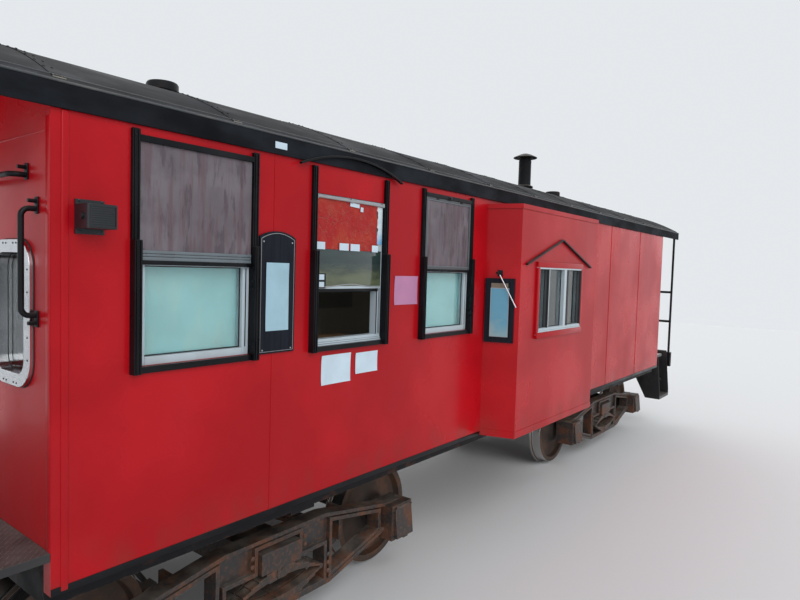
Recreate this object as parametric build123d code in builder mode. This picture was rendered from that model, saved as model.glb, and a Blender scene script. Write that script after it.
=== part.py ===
from build123d import *
import os
from math import asin, degrees, sqrt

os.makedirs("parts", exist_ok=True)

# Caboose with bay windows on two leaf-spring trucks, in millimetres.
# X runs along the car, Y across it and Z up from the lowest point of the wheel flanges.
# The near side is at -Y and holds the serving window. End a is at -X.

# Running gear
tread_radius = 419.1
flange_height = 28
back_to_back = 1356
rim_width = 140
rim_thickness = 57
flange_tip = 14
flange_root = 38
hub_radius = 132
hub_proud = 40
axle_radius = 82
plate_thickness = 56
journal_radius = 65
journal_reach = 1100
journal_clearance = 0.3
truck_spread = 6100
wheelbase = 2440

# Truck side frames and journal boxes
frame_across = 990
frame_thickness = 120
frame_web = 46
frame_rim = 26
frame_drop = 242
top_flat = 860
bottom_flat = 960
chord_depth = 64
column_width = 76
box_width = 250
box_rise = 150
box_drop = 130
box_shoulder = 12
box_inner = 905
box_outer = 1130
box_wall = 22
lid_thickness = 16
lid_tilt = 26
lid_hinge_radius = 15

# Bolster, springs and brake beams of a truck
seat_thickness = 45
spring_height = 250
spring_half_length = 370
spring_leaves = 5
leaf_thickness = 12
leaf_width = 76
leaf_step = 62
leaf_eye_radius = 16
spring_gap = 16
spring_end_play = 50
band_width = 76
band_lap = 5
bolster_width = 340
bolster_length = 2160
bolster_end_height = 140
bolster_end_span = 230
bolster_belly = 70
bolster_clearance = 8
bolster_lift = 24
bowl_rise = 42
bowl_wall = 34
bowl_lip = 22
side_bearing_across = 635
side_bearing_size = 150
side_bearing_gap = 8
shoe_clearance = 8
shoe_thickness = 42
shoe_head = 40
shoe_width = 76
shoe_flange_gap = 8
shoe_half_angle = 17
beam_width = 44
beam_height = 80
beam_strut = 150
beam_rod = 30
beam_post = 70
hanger_width = 30

# Underframe
seat_gap = 0.3
centre_plate_radius = 165
centre_plate_play = 5
body_plate_height = 50
sill_width = 330
sill_height = 332
sill_plate = 16
sill_flange = 60
bearer_height = 100
bearer_width = 90
bearer_pitch = 1100
bearer_count = 4
gusset_drop = 190
gusset_run = 195
gusset_web = 14
body_bolster_width = 320
body_bolster_flat = 840
body_bolster_end = 164
side_sill_height = 214
side_sill_depth = 75
side_sill_plate = 12
end_sill_depth = 80
end_sill_height = 230
jack_pad_length = 200
jack_pad_height = 20

# Car body
body_length = 9180
body_width = 2660
wall = 70
floor_thickness = 60
side_drop = 196
side_height = 2095

# Roof
roof_rise = 366
roof_thickness = 60
fascia_height = 111
fascia_proud = 18

# Smoke jack and roof vents
jack_along = 1500
jack_across = -420
jack_radius = 75
jack_height = 350
jack_cap_height = 60
vent_along = 3300
vent_radius = 110
vent_neck_radius = 76
vent_height = 160
vent_cap_height = 70

# Bay windows
bay_base = 1960
bay_front = 1780
bay_depth = 300
bay_wall = 60
bay_drop = 39
bay_band_height = 40
bay_band_proud = 8
bay_foot_height = 60
bay_foot_proud = 4
slider_place = -52
slider_width = 1060
slider_height = 660
slider_rise = 700
slider_flange = 45
slider_bar = 12
slider_proud = 18
pane_setback = 30

# Side windows: the black surround, its guide rails and what sits in the opening
window_width = 730
window_height = 1145
window_rise = 735
surround_side = 38
surround_head = 30
surround_sill = 32
surround_proud = 22
surround_horn = 25
guide_rise = 632
guide_proud = 25
sash_depth = 60
sash_bar = 42
sash_setback = 8
meeting_rail = 42
glass_thickness = 6
screen_thickness = 18
screen_border = 30
screen_recess = 6
screen_play = 5

# End windows
end_window_width = 425
end_window_height = 669
end_window_radius = 130
end_window_across = 952.5
end_window_rise = 683
end_window_bar = 47
end_window_proud = 22
end_window_liner = 14

# End doors, their frames and hinges
door_width = 660
door_height = 1880
door_thickness = 45
door_frame = 35
door_clearance = 6
door_setback = 15
door_sill_gap = 8
door_window_width = 320
door_window_height = 640
door_window_radius = 60
door_window_rise = 1330
door_panel_height = 620
door_panel_rise = 470
door_panel_recess = 8
hinge_setback = 10
hinge_radius = 9
hinge_knuckle = 50
hinge_pitch = 37.5
hinge_shares = (0.12, 0.5, 0.88)
hinge_gap = 0.2
hinge_lap = 25
knob_rise = 960
knob_setback = 60
knob_radius = 26
knob_length = 22
knob_stem_radius = 12
knob_stem = 45

# Platforms, steps and end rails
platform_length = 870
platform_deck = 40
step_well_start = 260
step_reach = 480
step_count = 3
step_rise = 240
tread_depth = 230
tread_thickness = 24
tread_lip = 44
tread_lip_thickness = 10
stringer = 10
stringer_cut = 60
well_beam = 60
well_beam_height = 180
pipe_radius = 18
rail_thickness = 12
rail_depth = 38
baluster_size = 18
baluster_count = 2
post_foot = 78
post_foot_thickness = 10
corner_post_inset = 40
gate_post_across = 330
lower_rail_rise = 500
upper_rail_rise = 1000

# Hand brake stands
brake_across = 640
brake_setback = 130
brake_wheel_rise = 836
brake_wheel_radius = 280
brake_rim = 24
brake_hub = 45
brake_spokes = 5
brake_spoke = 26
brake_arm = 110
brake_arm_radius = 22
brake_post_radius = 28
brake_foot = 110
brake_case_width = 180
brake_case_depth = 120
brake_case_height = 220
brake_case_radius = 50

# Couplers
coupler_rise = 172
coupler_reach = 5810
shank_width = 130
shank_height = 160
shank_length = 1840
shank_play = 30
head_height = 270
knuckle_height = 198
horn_width = 290
horn_length = 36
head_length = 210
head_lap = 10
pin_back = 95
pin_across = 120
pin_radius = 24
pin_stand = 16
striker_width = 460
striker_height = 250
striker_proud = 40
pocket_width = 190

# Air brake reservoir and cylinder under the floor
reservoir_radius = 190
reservoir_length = 1300
cylinder_radius = 150
cylinder_length = 520
tank_across = 560
tank_chamfer = 40
tank_drop = 40
strap_width = 60
strap_reach = 0.8

# Grab irons on the end walls
grab_reach = 66
grab_radius = 12.5
grab_bend = 26
grab_foot_width = 34
grab_foot_height = 72
grab_foot_shift = 16
grab_foot_thickness = 8

# Drip rails
gable_half = 752
gable_foot_drop = 12
gable_rise = 250
gable_strip = 16
drip_proud = 26
arch_half = 485
arch_foot_drop = 18
arch_rise = 95
arch_strip = 14

# Fittings on the near side
speaker_start = 95
speaker_rise = 1401
speaker_width = 128
speaker_height = 105
speaker_depth = 118
speaker_round = 14
bracket_width = 126
bracket_height = 150
bracket_thickness = 12
sign_start = 1090
sign_rise = 760
sign_width = 268
sign_height = 702
sign_crown = 34
sign_thickness = 15
poster_start = 10
poster_rise = 646
poster_width = 260
poster_height = 564
poster_border = 40
poster_thickness = 20
poster_recess = 6
rod_hook = (135, 1248)
rod_end = (290, 961)
rod_radius = 6
rod_eye_radius = 9
rod_stand = 40
board_margin = 18
board_thickness = 8
counter_margin = 45
counter_depth = 400
counter_top = 35
counter_lap = 20
counter_panel = 25
counter_shelf_rise = 360
counter_kick = 60

# Heights, built up from the wheels
wheel_centre = tread_radius + flange_height
frame_low = wheel_centre - frame_drop
spring_seat = frame_low + seat_thickness
bolster_low = spring_seat + spring_height
bolster_top = bolster_low + bolster_end_height
centre_plate_top = bolster_top + bowl_rise
frame_slot_top = bolster_top + bolster_lift
frame_top = frame_slot_top + chord_depth
box_low = wheel_centre - box_drop
box_high = wheel_centre + box_rise
sill_bottom = centre_plate_top + seat_gap + body_plate_height
sill_top = sill_bottom + sill_height
floor_low = sill_top + bearer_height
floor_top = floor_low + floor_thickness
side_sill_low = floor_low - side_sill_height
side_bottom = floor_top - side_drop
side_top = side_bottom + side_height
fascia_top = side_top + fascia_height
roof_crown = fascia_top + roof_rise
bay_top = side_top - bay_drop
bay_ceiling = bay_top - bay_wall
deck_low = floor_top - platform_deck
end_sill_low = deck_low - end_sill_height
coupler_height = sill_bottom + coupler_rise

# Places along and across the car
body_end = body_length / 2
inner_end = body_end - wall
platform_end = body_end + platform_length
end_sill_face = platform_end - end_sill_depth
half_width = body_width / 2
inner_side = half_width - wall
roof_edge = half_width + fascia_proud
bay_face = half_width + bay_depth
wheel_back = back_to_back / 2
wheel_face = wheel_back + rim_width
axle = wheelbase / 2

# The roof is an arch: its radius and the height of its axis
roof_radius = (roof_edge ** 2 + roof_rise ** 2) / (2 * roof_rise)
roof_axis = roof_crown - roof_radius
ceiling_radius = roof_radius - roof_thickness

sides = (("near", -1), ("far", 1))
ends = (("a", -1), ("b", 1))
upwards = (Align.CENTER, Align.CENTER, Align.MIN)

# Side windows
# columns: start from end wall a, meeting rail above the sill, head above the sill,
# lower pane shut, screen panel raised over the upper sash under a head bar
side_windows = {
    "near": ((345, 535, 1115, True, True),
             (1488, 395, 985, False, False),
             (2625, 535, 1115, True, True)),
    "far": ((345, 535, 1115, True, True),
            (1488, 535, 1115, True, True),
            (2625, 535, 1115, True, True)),
}
serving_window = side_windows["near"][1]

# Mullions of a bay window: place from the window's middle, width
slider_mullions = ((-287, 36), (118, 96))


def ceiling_at(across):
    return roof_axis + sqrt(ceiling_radius ** 2 - across ** 2)


def side_plane(across, along=0):
    return Plane((along, across, 0), x_dir=(1, 0, 0), z_dir=(0, -1, 0))


def cross_plane(along):
    return Plane((along, 0, 0), x_dir=(0, 1, 0), z_dir=(1, 0, 0))


def mirrored(low, high, sign):
    return tuple(sorted((sign * low, sign * high)))


def about(middle, width):
    return (middle - width / 2, middle + width / 2)


def block(along, across, up, mode=Mode.ADD):
    middle = tuple(sum(span) / 2 for span in (along, across, up))
    size = [span[1] - span[0] for span in (along, across, up)]
    with Locations(middle):
        Box(*size, mode=mode)


def window_place(window):
    return -body_end + window[0] + window_width / 2


# Side walls, with their window openings and the way into the bay
opening_half = window_width / 2 - surround_side
window_low = floor_top + window_rise
window_high = window_low + window_height
opening_low = window_low + surround_sill
bay_way = bay_base / 2 - bay_wall
for name, side in sides:
    wall_top = ceiling_at(half_width) - seat_gap
    across = mirrored(inner_side, half_width, side)
    with BuildPart() as side_wall:
        block((-body_end, body_end), across, (side_bottom, wall_top))
        for window in side_windows[name]:
            block(about(window_place(window), 2 * opening_half), across,
                  (opening_low, window_low + window[2]), Mode.SUBTRACT)
        block((-bay_way, bay_way), across, (floor_top, bay_ceiling), Mode.SUBTRACT)
    side_wall.part.label = f"side_wall_{name}"
    export_step(side_wall.part, f"parts/side_wall_{name}.step")

# Bay window walls: a hollow box with slanted ends, a band round the top and one at the foot
# columns: bottom, top, growth outwards
slider_low = floor_top + slider_rise
slider_high = slider_low + slider_height
slider_half = slider_width / 2 - slider_flange
bay_layers = ((side_bottom, bay_top, 0),
              (bay_top - bay_band_height, bay_top, bay_band_proud),
              (side_bottom, side_bottom + bay_foot_height, bay_foot_proud))
for name, side in sides:
    with BuildPart() as bay:
        for bottom, top, growth in bay_layers:
            with BuildSketch(Plane.XY.offset(bottom)):
                Polygon((-bay_base / 2 - growth, side * half_width),
                        (bay_base / 2 + growth, side * half_width),
                        (bay_front / 2 + growth, side * (bay_face + growth)),
                        (-bay_front / 2 - growth, side * (bay_face + growth)), align=None)
            extrude(amount=top - bottom)
        with BuildSketch(Plane.XY.offset(floor_top)):
            Polygon((-bay_way, side * half_width), (bay_way, side * half_width),
                    (bay_front / 2 - bay_wall, side * (bay_face - bay_wall)),
                    (bay_wall - bay_front / 2, side * (bay_face - bay_wall)), align=None)
        extrude(amount=bay_ceiling - floor_top, mode=Mode.SUBTRACT)
        block(about(slider_place, 2 * slider_half), mirrored(bay_face - bay_wall, bay_face, side),
              (slider_low + slider_flange, slider_high - slider_flange), Mode.SUBTRACT)
    bay.part.label = f"bay_{name}"
    export_step(bay.part, f"parts/bay_{name}.step")

# End walls between the side walls, standing on the floor
jamb_inner = door_width / 2 + door_clearance
jamb_outer = jamb_inner + door_frame
door_head = floor_top + door_height + door_clearance
end_window_middle = floor_top + end_window_rise + end_window_height / 2
end_window_spots = [(way * end_window_across, end_window_middle) for way in (-1, 1)]
end_opening = (end_window_width - 2 * end_window_bar, end_window_height - 2 * end_window_bar)
end_opening_radius = end_window_radius - end_window_bar
for name, end in ends:
    corner_top = ceiling_at(inner_side) - seat_gap
    with BuildPart() as end_wall:
        with BuildSketch(cross_plane(min(end * body_end, end * inner_end))):
            with BuildLine():
                Polyline((inner_side, corner_top), (inner_side, floor_top),
                         (-inner_side, floor_top), (-inner_side, corner_top))
                ThreePointArc((-inner_side, corner_top), (0, ceiling_at(0) - seat_gap),
                              (inner_side, corner_top))
            make_face()
            with Locations((0, floor_top)):
                Rectangle(2 * jamb_outer, door_head + door_frame - floor_top,
                          align=(Align.CENTER, Align.MIN), mode=Mode.SUBTRACT)
            with Locations(*end_window_spots):
                RectangleRounded(*end_opening, end_opening_radius, mode=Mode.SUBTRACT)
        extrude(amount=wall)
    end_wall.part.label = f"end_wall_{name}"
    export_step(end_wall.part, f"parts/end_wall_{name}.step")

# Floor of the cabin
with BuildPart() as floor:
    block((-body_end, body_end), (-inner_side, inner_side), (floor_low, floor_top))
floor.part.label = "floor"
export_step(floor.part, "parts/floor.step")

# Arched roof over the cabin and both platforms, with the fascia down each side
with BuildPart() as roof:
    with BuildSketch(cross_plane(-platform_end)):
        with BuildLine():
            ThreePointArc((-roof_edge, fascia_top), (0, roof_crown), (roof_edge, fascia_top))
            Polyline((roof_edge, fascia_top), (roof_edge, side_top), (half_width, side_top),
                     (half_width, ceiling_at(half_width)))
            ThreePointArc((half_width, ceiling_at(half_width)), (0, ceiling_at(0)),
                          (-half_width, ceiling_at(half_width)))
            Polyline((-half_width, ceiling_at(half_width)), (-half_width, side_top),
                     (-roof_edge, side_top), (-roof_edge, fascia_top))
        make_face()
    extrude(amount=2 * platform_end)
roof.part.label = "roof"
export_step(roof.part, "parts/roof.step")

# Smoke jack and vents, their feet shaped to the arch
with BuildPart() as roof_vents:
    foot = ceiling_at(abs(jack_across) + jack_radius)
    with Locations((jack_along, jack_across, foot)):
        Cylinder(jack_radius, roof_crown + jack_height - foot, align=upwards)
    with Locations((jack_along, jack_across, roof_crown + jack_height)):
        Cone(2 * jack_radius, jack_radius / 2, jack_cap_height, align=upwards)
    for way in (-1, 1):
        with Locations((way * vent_along, 0, roof_crown - roof_thickness)):
            Cylinder(vent_neck_radius, vent_height + roof_thickness, align=upwards)
        with Locations((way * vent_along, 0, roof_crown + vent_height - vent_cap_height)):
            Cylinder(vent_radius, vent_cap_height, align=upwards)
    with Locations((0, 0, roof_axis)):
        Cylinder(roof_radius + seat_gap, body_length, rotation=(0, 90, 0), mode=Mode.SUBTRACT)
roof_vents.part.label = "roof_vents"
export_step(roof_vents.part, "parts/roof_vents.step")

# Centre sill: a channel open at the top, flanged at its foot, with the two centre plates
with BuildPart() as centre_sill:
    with BuildSketch(cross_plane(-end_sill_face)):
        with Locations((0, sill_bottom)):
            Rectangle(sill_width, sill_height, align=(Align.CENTER, Align.MIN))
            Rectangle(sill_width - 2 * sill_plate, sill_height - sill_plate,
                      align=(Align.CENTER, Align.MIN), mode=Mode.SUBTRACT)
            for side, edge in ((-1, Align.MAX), (1, Align.MIN)):
                with Locations((side * sill_width / 2, 0)):
                    Rectangle(sill_flange, sill_plate, align=(edge, Align.MIN))
    extrude(amount=2 * end_sill_face)
    with Locations(*[(end * truck_spread / 2, 0, centre_plate_top + seat_gap)
                     for end in (-1, 1)]):
        Cylinder(centre_plate_radius, body_plate_height, align=upwards)
centre_sill.part.label = "centre_sill"
export_step(centre_sill.part, "parts/centre_sill.step")

# Cross bearers over the sill with their gussets, and the end bearers beside it
web_face = inner_side - side_sill_plate
with BuildPart() as cross_bearers:
    for step in range(bearer_count):
        place = (step - (bearer_count - 1) / 2) * bearer_pitch
        block(about(place, bearer_width), (-web_face, web_face), (sill_top, floor_low))
        for side in (-1, 1):
            with BuildSketch(cross_plane(place - gusset_web / 2)):
                Polygon((side * sill_width / 2, sill_top),
                        (side * (sill_width / 2 + gusset_run), sill_top),
                        (side * sill_width / 2, sill_top - gusset_drop), align=None)
            extrude(amount=gusset_web)
    for end in (-1, 1):
        for side in (-1, 1):
            block(mirrored(inner_end, body_end, end), mirrored(sill_width / 2, web_face, side),
                  (side_sill_low + side_sill_plate, floor_low))
cross_bearers.part.label = "cross_bearers"
export_step(cross_bearers.part, "parts/cross_bearers.step")

# Body bolsters over the centre sill, with the upper side bearings
bearing_top = bolster_top + bowl_rise + bowl_lip + side_bearing_gap
slope_end = floor_low - body_bolster_end
with BuildPart() as body_bolsters:
    for end in (-1, 1):
        centre = end * truck_spread / 2
        with BuildSketch(cross_plane(centre - body_bolster_width / 2)):
            Polygon((-web_face, floor_low), (web_face, floor_low), (web_face, slope_end),
                    (body_bolster_flat / 2, sill_bottom + sill_plate),
                    (sill_width / 2, sill_bottom + sill_plate), (sill_width / 2, sill_top),
                    (-sill_width / 2, sill_top), (-sill_width / 2, sill_bottom + sill_plate),
                    (-body_bolster_flat / 2, sill_bottom + sill_plate),
                    (-web_face, slope_end), align=None)
        extrude(amount=body_bolster_width)
        for side in (-1, 1):
            block(about(centre, side_bearing_size),
                  about(side * side_bearing_across, side_bearing_size), (bearing_top, sill_top))
body_bolsters.part.label = "body_bolsters"
export_step(body_bolsters.part, "parts/body_bolsters.step")

# Side sills: angles along the foot of the side walls, with a jacking pad at each bolster
with BuildPart() as side_sills:
    for side in (-1, 1):
        flange = mirrored(inner_side - side_sill_depth, inner_side, side)
        block((-body_end, body_end), mirrored(web_face, inner_side, side),
              (side_sill_low, floor_low))
        block((-body_end, body_end), flange, (side_sill_low, side_sill_low + side_sill_plate))
        for end in (-1, 1):
            block(about(end * truck_spread / 2, jack_pad_length), flange,
                  (side_sill_low - jack_pad_height, side_sill_low))
side_sills.part.label = "side_sills"
export_step(side_sills.part, "parts/side_sills.step")

# End sills with their striker castings, and the beams that carry the platforms
shank_low = coupler_height - shank_height / 2
well_inner = half_width - step_reach
with BuildPart() as end_sills:
    for end in (-1, 1):
        block(mirrored(end_sill_face, platform_end, end), (-half_width, half_width),
              (end_sill_low, deck_low))
        block(mirrored(end_sill_face, platform_end + striker_proud, end),
              about(0, striker_width), about(coupler_height, striker_height))
        block(mirrored(end_sill_face, platform_end + striker_proud, end),
              about(0, pocket_width),
              (shank_low - seat_gap, shank_low + shank_height + shank_play), Mode.SUBTRACT)
end_sills.part.label = "end_sills"
export_step(end_sills.part, "parts/end_sills.step")

with BuildPart() as platform_beams:
    for end in (-1, 1):
        for side in (-1, 1):
            block(mirrored(body_end, end_sill_face, end),
                  mirrored(well_inner - well_beam, well_inner, side),
                  (deck_low - well_beam_height, deck_low))
platform_beams.part.label = "platform_beams"
export_step(platform_beams.part, "parts/platform_beams.step")

# End platforms, full width by the wall and narrower between the step wells
well_start = body_end + step_well_start
for name, end in ends:
    with BuildPart() as platform:
        block(mirrored(body_end, well_start, end), (-half_width, half_width),
              (deck_low, floor_top))
        block(mirrored(well_start, platform_end, end), (-well_inner, well_inner),
              (deck_low, floor_top))
    platform.part.label = f"platform_{name}"
    export_step(platform.part, f"parts/platform_{name}.step")

# Steps: two stringers and the treads in each well
step_shift = (step_reach - tread_depth) / (step_count - 1)
lowest_tread = floor_top - step_count * step_rise
with BuildPart() as steps:
    for end in (-1, 1):
        for side in (-1, 1):
            for start in (well_start, end_sill_face - stringer):
                with BuildSketch(cross_plane(min(end * start, end * (start + stringer)))):
                    Polygon((side * well_inner, floor_top),
                            (side * (half_width - stringer_cut), floor_top),
                            (side * half_width, lowest_tread + stringer_cut),
                            (side * half_width, lowest_tread - tread_lip),
                            (side * (half_width - tread_depth), lowest_tread - tread_lip),
                            (side * well_inner, floor_top - step_rise - tread_lip), align=None)
                extrude(amount=stringer)
            for number in range(step_count):
                top = floor_top - (number + 1) * step_rise
                inner = well_inner + number * step_shift
                outer = inner + tread_depth
                block(mirrored(well_start, end_sill_face, end), mirrored(inner, outer, side),
                      (top - tread_thickness, top))
                block(mirrored(well_start, end_sill_face, end),
                      mirrored(outer - tread_lip_thickness, outer, side), (top - tread_lip, top))
steps.part.label = "steps"
export_step(steps.part, "parts/steps.step")

# End rails: pipe corner posts up to the roof, gate posts, flat rails and square balusters
rail_place = platform_end - end_sill_depth / 2
corner_post = half_width - corner_post_inset
baluster_pitch = (well_inner - gate_post_across) / (baluster_count + 1)
for name, end in ends:
    with BuildPart() as end_rails:
        for side in (-1, 1):
            for across, foot, height in (
                    (corner_post, deck_low, ceiling_at(corner_post + pipe_radius) - seat_gap),
                    (gate_post_across, floor_top, floor_top + upper_rail_rise + pipe_radius)):
                with Locations((end * rail_place, side * across, foot)):
                    Cylinder(pipe_radius, height - foot, align=upwards)
                    Box(post_foot, post_foot, post_foot_thickness, align=upwards)
            for rise in (lower_rail_rise, upper_rail_rise):
                block(about(end * rail_place, rail_thickness),
                      mirrored(gate_post_across, corner_post, side),
                      about(floor_top + rise, rail_depth))
            for number in range(baluster_count):
                across = gate_post_across + (number + 1) * baluster_pitch
                block(about(end * rail_place, baluster_size), about(side * across, baluster_size),
                      (floor_top, floor_top + upper_rail_rise))
    end_rails.part.label = f"end_rails_{name}"
    export_step(end_rails.part, f"parts/end_rails_{name}.step")

# Hand brake stands, one diagonally across from the other
brake_place = rail_place - brake_setback
brake_height = floor_top + brake_wheel_rise
for name, end in ends:
    with BuildPart() as brake_stand:
        with Locations((end * brake_place, end * brake_across, floor_top)):
            Cylinder(brake_post_radius, brake_wheel_rise, align=upwards)
            Box(brake_foot, brake_foot, post_foot_thickness, align=upwards)
        case = min(end * (brake_place - brake_case_depth / 2),
                   end * (brake_place + brake_case_depth / 2))
        with BuildSketch(cross_plane(case)):
            with Locations((end * brake_across, brake_height)):
                RectangleRounded(brake_case_width, brake_case_height, brake_case_radius)
        extrude(amount=brake_case_depth)
        with Locations((end * (brake_place - brake_arm / 2), end * brake_across, brake_height)):
            Cylinder(brake_arm_radius, brake_arm, rotation=(0, 90, 0))
        with BuildSketch(Plane((end * (brake_place - brake_arm), end * brake_across,
                                brake_height), x_dir=(0, 1, 0), z_dir=(1, 0, 0))):
            Circle(brake_wheel_radius)
            Circle(brake_wheel_radius - brake_rim, mode=Mode.SUBTRACT)
            Circle(brake_hub)
            with PolarLocations(brake_wheel_radius / 2, brake_spokes):
                Rectangle(brake_wheel_radius - brake_rim, brake_spoke)
        extrude(amount=brake_rim / 2, both=True)
    brake_stand.part.label = f"brake_stand_{name}"
    export_step(brake_stand.part, f"parts/brake_stand_{name}.step")

# Couplers: shank in the centre sill, horn, head with its guard arm, and closed knuckle
# columns: back from the pulling face, across from the middle of the shank
head_outline = ((210, -65), (170, -165), (60, -195), (0, -190), (10, -125), (85, -100),
                (105, -20), (105, 60), (60, 150), (110, 165), (190, 130), (210, 65))
knuckle_outline = ((120, 40), (85, 20), (50, 45), (45, 5), (5, 0), (-20, 45), (0, 120),
                   (50, 158), (110, 160))
with BuildPart() as couplers:
    for end in (-1, 1):
        head_back = coupler_reach - head_length
        block(mirrored(head_back - shank_length, head_back + head_lap, end),
              about(0, shank_width), (shank_low, shank_low + shank_height))
        block(mirrored(head_back - horn_length, head_back + head_lap, end),
              about(0, horn_width), about(coupler_height, head_height))
        for outline, height in ((head_outline, head_height),
                                (knuckle_outline, knuckle_height)):
            with BuildSketch(Plane.XY.offset(coupler_height - height / 2)):
                Polygon(*[(end * (coupler_reach - back), end * across)
                          for back, across in outline], align=None)
            extrude(amount=height)
        with Locations((end * (coupler_reach - pin_back), end * pin_across, coupler_height)):
            Cylinder(pin_radius, head_height + 2 * pin_stand)
couplers.part.label = "couplers"
export_step(couplers.part, "parts/couplers.step")

# Window surrounds of separate bars on the side walls, guide rails on their lower jambs
with BuildPart() as window_frames:
    for name, side in sides:
        face = mirrored(half_width, half_width + surround_proud, side)
        guide = mirrored(half_width, half_width + surround_proud + guide_proud, side)
        for window in side_windows[name]:
            place = window_place(window)
            head_high = window_high - surround_horn
            between = about(place, 2 * (opening_half - seat_gap))
            block(between, face, (window_low, opening_low))
            if window[4]:
                block(between, face, (head_high - surround_head, head_high))
            for way in (-1, 1):
                rail = about(place + way * (window_width - surround_side) / 2, surround_side)
                block(rail, guide, (window_low, window_low + guide_rise))
                block(rail, face, (window_low + guide_rise + seat_gap, window_high))
window_frames.part.label = "window_frames"
export_step(window_frames.part, "parts/window_frames.step")

# Window sashes of separate stiles and rails in the openings, and their panes
sash_face = half_width - sash_setback
sash_half = opening_half - seat_gap
pane_half = sash_half - sash_bar
pane_middle = sash_face - sash_depth / 2
with BuildPart() as window_sashes:
    for name, side in sides:
        across = mirrored(sash_face - sash_depth, sash_face, side)
        for window in side_windows[name]:
            place = window_place(window)
            meeting = window_low + window[1]
            head = window_low + window[2] - seat_gap
            for way in (-1, 1):
                block(about(place + way * (sash_half - sash_bar / 2), sash_bar), across,
                      (opening_low + seat_gap, head))
            for low, high in ((opening_low + seat_gap, opening_low + sash_bar),
                              (meeting - meeting_rail / 2, meeting + meeting_rail / 2),
                              (head - sash_bar, head)):
                block(about(place, 2 * (pane_half - seat_gap)), across, (low, high))
window_sashes.part.label = "window_sashes"
export_step(window_sashes.part, "parts/window_sashes.step")

with BuildPart() as window_glass:
    for name, side in sides:
        across = mirrored(pane_middle - glass_thickness / 2, pane_middle + glass_thickness / 2,
                          side)
        for window in side_windows[name]:
            pane = about(window_place(window), 2 * (pane_half - seat_gap))
            meeting = window_low + window[1]
            head = window_low + window[2] - seat_gap
            block(pane, across, (meeting + meeting_rail / 2 + seat_gap,
                                 head - sash_bar - seat_gap))
            if window[3]:
                block(pane, across, (opening_low + sash_bar + seat_gap,
                                     meeting - meeting_rail / 2 - seat_gap))
window_glass.part.label = "window_glass"
export_step(window_glass.part, "parts/window_glass.step")

# Screen panels, raised in the guides over the upper sashes
screen_half = opening_half - screen_play
screen_high = window_high - surround_horn - surround_head - seat_gap
screen_back = sash_face + seat_gap
screen_face = screen_back + screen_thickness
with BuildPart() as window_screens:
    for name, side in sides:
        for window in side_windows[name]:
            if window[4]:
                place = window_place(window)
                low = window_low + window[1]
                block(about(place, 2 * screen_half), mirrored(screen_back, screen_face, side),
                      (low, screen_high))
                block(about(place, 2 * (screen_half - screen_border)),
                      mirrored(screen_face - screen_recess, screen_face, side),
                      (low + screen_border, screen_high - screen_border), Mode.SUBTRACT)
window_screens.part.label = "window_screens"
export_step(window_screens.part, "parts/window_screens.step")

# Bay slider windows: flange outside, frame in the opening and two mullions between panes
light_low = slider_low + slider_flange + slider_bar
light_high = slider_high - slider_flange - slider_bar
bay_lights = []
light_left = slider_place - slider_half + slider_bar
for mullion_place, mullion_width in slider_mullions:
    bay_lights.append((light_left, slider_place + mullion_place - mullion_width / 2))
    light_left = slider_place + mullion_place + mullion_width / 2
bay_lights.append((light_left, slider_place + slider_half - slider_bar))
with BuildPart() as bay_window_frames:
    for name, side in sides:
        block(about(slider_place, slider_width),
              mirrored(bay_face, bay_face + slider_proud, side), (slider_low, slider_high))
        block(about(slider_place, 2 * (slider_half - seat_gap)),
              mirrored(bay_face - bay_wall, bay_face, side),
              (slider_low + slider_flange + seat_gap, slider_high - slider_flange - seat_gap))
        for light in bay_lights:
            block(light, mirrored(bay_face - bay_wall, bay_face + slider_proud, side),
                  (light_low, light_high), Mode.SUBTRACT)
bay_window_frames.part.label = "bay_window_frames"
export_step(bay_window_frames.part, "parts/bay_window_frames.step")

with BuildPart() as bay_window_glass:
    for name, side in sides:
        pane = mirrored(bay_face - pane_setback, bay_face - pane_setback + glass_thickness, side)
        for left, right in bay_lights:
            block((left + seat_gap, right - seat_gap), pane,
                  (light_low + seat_gap, light_high - seat_gap))
bay_window_glass.part.label = "bay_window_glass"
export_step(bay_window_glass.part, "parts/bay_window_glass.step")

# End windows: round-cornered flange outside, a liner through the wall, and the pane
liner_radius = end_opening_radius - end_window_liner
liner_outside = [span - 2 * seat_gap for span in end_opening]
liner_inside = [span - 2 * end_window_liner for span in liner_outside]
with BuildPart() as end_window_frames:
    for end in (-1, 1):
        for outside, radius, depth in (((end_window_width, end_window_height),
                                        end_window_radius, end_window_proud),
                                       (liner_outside, end_opening_radius, -wall)):
            with BuildSketch(cross_plane(end * body_end)):
                with Locations(*end_window_spots):
                    RectangleRounded(*outside, radius)
                    RectangleRounded(*liner_inside, liner_radius, mode=Mode.SUBTRACT)
            extrude(amount=end * depth)
end_window_frames.part.label = "end_window_frames"
export_step(end_window_frames.part, "parts/end_window_frames.step")

with BuildPart() as end_window_glass:
    for end in (-1, 1):
        with BuildSketch(cross_plane(end * (body_end - wall / 2))):
            with Locations(*end_window_spots):
                RectangleRounded(*[span - 2 * seat_gap for span in liner_inside],
                                 liner_radius - seat_gap)
        extrude(amount=glass_thickness)
end_window_glass.part.label = "end_window_glass"
export_step(end_window_glass.part, "parts/end_window_glass.step")

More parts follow.
